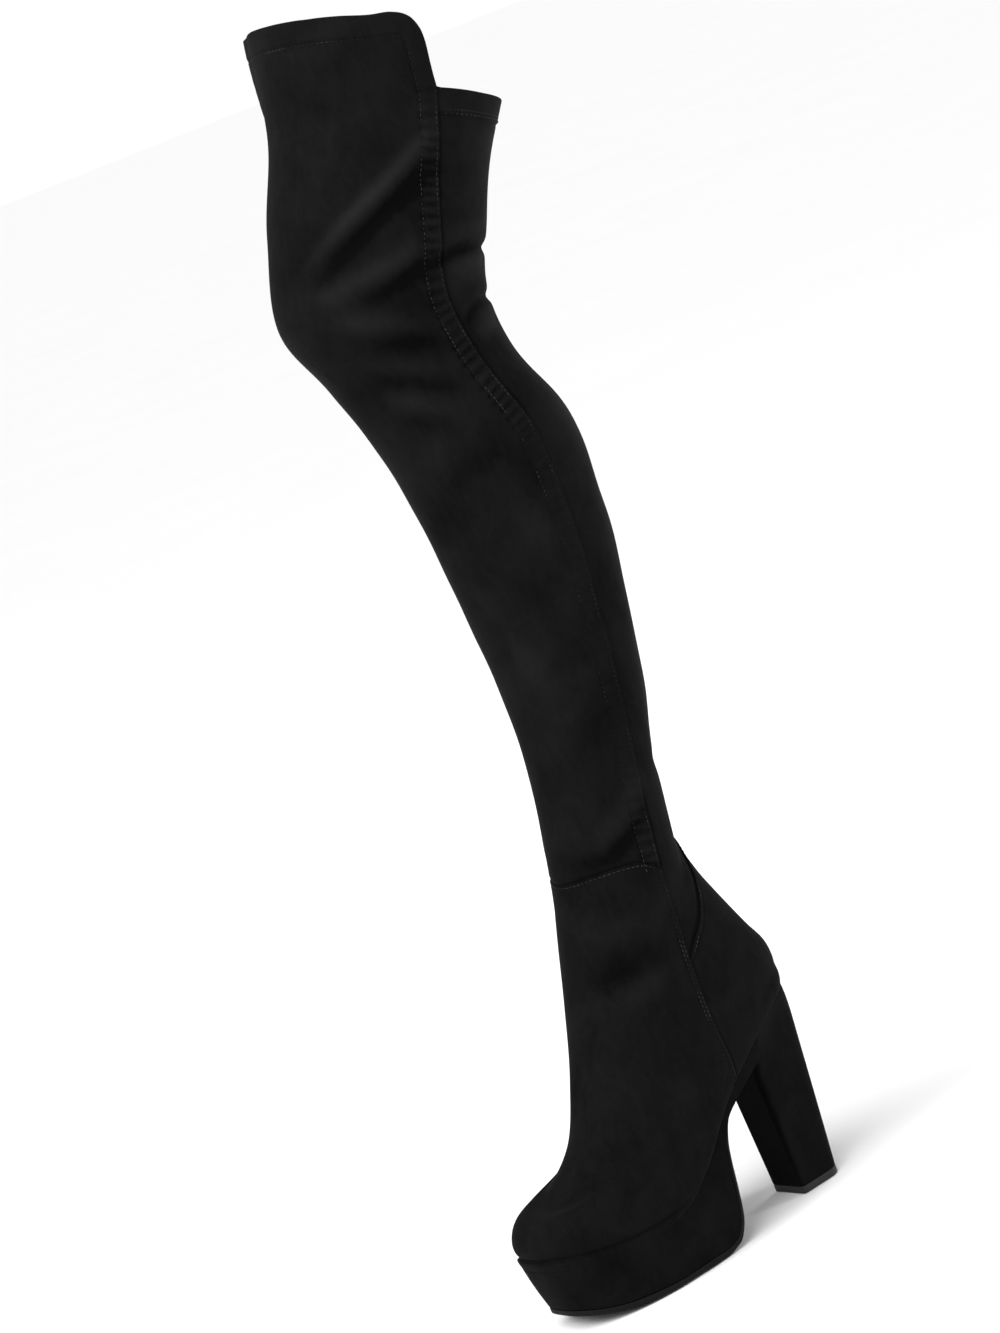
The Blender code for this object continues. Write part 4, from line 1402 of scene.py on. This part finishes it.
def strip_place(half, depth, low, high):
    """Places a grid as a strip that follows the zip, sunk by a depth."""
    def place(s, t):
        v = low + (high - low) * t
        line = zip_turn(v)
        a = line + (s - 0.5) * 2 * half / millimetres_per_degree(line, v)
        return upper(a, v) + outward(a, v) * depth, 0 * s

    return place


def slider_frame():
    """Centre of the slider on the upper's surface, with fore-aft, upward and outward axes."""
    a = zip_turn(SLIDER_UP)
    out = outward(a, SLIDER_UP)
    fore = unit(np.cross(out, UP))
    return upper(a, SLIDER_UP), fore, np.cross(fore, out), out


def placed(centre, along_x, along_y):
    """World matrix for a shape built in millimetres: a point on the boot, and its two axes."""
    flip = np.array([1, -1, 1])
    x, y = Vector(along_x * flip), Vector(along_y * flip)
    turn = Matrix((x, y, x.cross(y))).transposed()
    return Matrix.Translation(Vector(world(centre))) @ turn.to_4x4() @ Matrix.Diagonal((MM, MM, MM, 1))


def tooth():
    """One turn of a coil, 1 mm by 1 mm by 1 mm before it is sized."""
    shape = box((1.0, 1.0, 1.0))
    bevel(shape, shape.edges[:], 0.22, 1)
    return shape


def tooth_place(level, sign):
    """World matrix of a coil turn beside the zip's line."""
    line = zip_turn(level)
    a = line + sign * TOOTH_ASIDE / millimetres_per_degree(line, level)
    out = outward(a, level)
    rise = unit(upper(a, level + 0.5) - upper(a, level - 0.5))
    centre = upper(a, level) - out * TOOTH_SUNK
    return placed(centre, np.cross(rise, out), rise) @ Matrix.Diagonal((*TOOTH, 1))


def build_teeth():
    """Two rows of coil turns that mesh along the middle, from the foot of the zip to the slider."""
    levels = np.arange(SLOT_FOOT + 4, SLIDER_UP - 5, TOOTH_PITCH)
    places = [tooth_place(v + sign * TOOTH_PITCH / 4, sign) for v in levels for sign in (-1, 1)]
    finish_piece("zip_coils", repeated(tooth(), places), COIL, ["zip_chain"])


def build_slider():
    """Slider: a shield-shaped body with a square bridge over the pull's bar."""
    centre, fore, rise, out = slider_frame()
    thick = SLIDER_OUT - SLIDER_SUNK
    shape = box((2 * SLIDER_HALF, 2 * SLIDER_RISE, thick))
    sides = [edge for edge in shape.edges if abs(edge.verts[0].co.z - edge.verts[1].co.z) < 0.1]
    bmesh.ops.subdivide_edges(shape, edges=sides, cuts=3, use_grid_fill=True)
    for vert in shape.verts:
        vert.co.x *= 1 - SLIDER_TAPER * smooth(-vert.co.y / SLIDER_RISE, 0.1, 1.0)
        if vert.co.z > 0:
            vert.co.z += 0.35 * (1 - (vert.co.x / SLIDER_HALF) ** 2)
    bevel_sharp(shape, 0.45, 3)
    bridge = box(BRIDGE, (0, 0, BRIDGE_OUT))
    bevel_sharp(bridge, 1.1, 4)
    add_mesh(shape, as_mesh("bridge", bridge))
    carry(shape, placed(centre + out * (SLIDER_SUNK + thick / 2), fore, rise))
    finish_piece("slider_body", shape, METAL, ["zip_slider"])


def pull_opening(face):
    """True where the pull has no metal: beside its neck, in its eye and in its window."""
    x, y = face.calc_center_median().xy
    beside_neck = y > NECK_FOOT and abs(x) > NECK_HALF
    eye = NECK_FOOT < y < EYE_TOP and abs(x) < EYE_HALF
    window = WINDOW_FOOT < y < WINDOW_TOP and abs(x) < WINDOW_HALF
    return beside_neck or eye or window


def build_pull():
    """Framed tab: a neck with an eye for the bridge, and a frame round a window."""
    centre, fore, _, out = slider_frame()
    across, up = len(PULL_COLUMNS) - 1, len(PULL_ROWS) - 1
    shape = bmesh.new()
    bmesh.ops.create_grid(shape, x_segments=across, y_segments=up, size=1.0)
    for vert in shape.verts:
        vert.co.x = PULL_COLUMNS[round((vert.co.x + 1) / 2 * across)]
        vert.co.y = PULL_ROWS[round((vert.co.y + 1) / 2 * up)]
    bmesh.ops.delete(shape, geom=[face for face in shape.faces if pull_opening(face)], context="FACES")
    made = bmesh.ops.extrude_face_region(shape, geom=shape.faces[:], use_keep_orig=True)
    raised = [item for item in made["geom"] if isinstance(item, bmesh.types.BMVert)]
    bmesh.ops.translate(shape, verts=raised, vec=(0, 0, PULL_BAR))
    bmesh.ops.translate(shape, verts=shape.verts, vec=(0, 0, -PULL_BAR / 2))
    bmesh.ops.recalc_face_normals(shape, faces=shape.faces)
    bevel_sharp(shape, 0.32, 3)
    carry(shape, placed(centre + out * PIN_OUT, fore, UP))
    finish_piece("framed_pull", shape, METAL, ["zip_pull"], body="pull")


def build_zip():
    tape = laid_sheet(24, 150, strip_place(TAPE_HALF, -2.5, SLOT_FOOT - 5, SLOT_TOP + 5))
    thicken(finish_piece("woven_tape", tape, TAPE, ["zip_tape"]), 0.7)
    core = laid_sheet(8, 150, strip_place(2.8, -1.1, SLOT_FOOT + 2, SLOT_TOP - 10))
    thicken(finish_piece("coil_core", core, TAPE, ["zip_chain"]), 0.8)
    build_teeth()
    build_slider()
    build_pull()


# ---- the floor


def build_floor():
    """A wide paper floor."""
    shape = bmesh.new()
    bmesh.ops.create_circle(shape, segments=96, radius=60.0, cap_ends=True)
    bmesh.ops.translate(shape, verts=shape.verts, vec=(0, 0, -0.0003))
    floor = linked("paper", as_mesh("paper", shape))
    floor.data.materials.append(FLOOR)


# ---- everything put together

NAP_AND_SHADING = nap_and_shading_group()
# The last number is the strength of the painted highlight and shade that follow the relief.
SUEDE = suede("black_microsuede", (0.0047, 0.0046, 0.0047), 2.0, 1.9)
LINING = ribbed("lining_knit", (0.016, 0.016, 0.016), 0.75, 0.9, 0.12, 0.25)
TAPE = ribbed("tape_weave", (0.020, 0.020, 0.021), 0.7, 0.7, 0.2, 0.3)
COIL = grained("coil_nylon", (0.02, 0.02, 0.021), 0.3, 900, 0.03)
THREAD_LOOK = patchy_thread("black_thread", 0.005, 0.032)
RUBBER = grained("sole_rubber", (0.0045, 0.0045, 0.0047), 0.62, 700, 0.12, specular=0.10)
TOP_PIECE = grained("top_piece_rubber", (0.013, 0.013, 0.0133), 0.55, 700, 0.12, specular=0.3)
METAL = grained("gunmetal", (0.042, 0.042, 0.044), 0.16, 260, 0.01, metallic=1.0)
FLOOR = matt_paper()

SOLE_RING = sole_outline()
place_camera()
light_studio()
build_floor()
build_panels()
build_stitches()
build_insole()
build_sole()
build_heel()
build_zip()
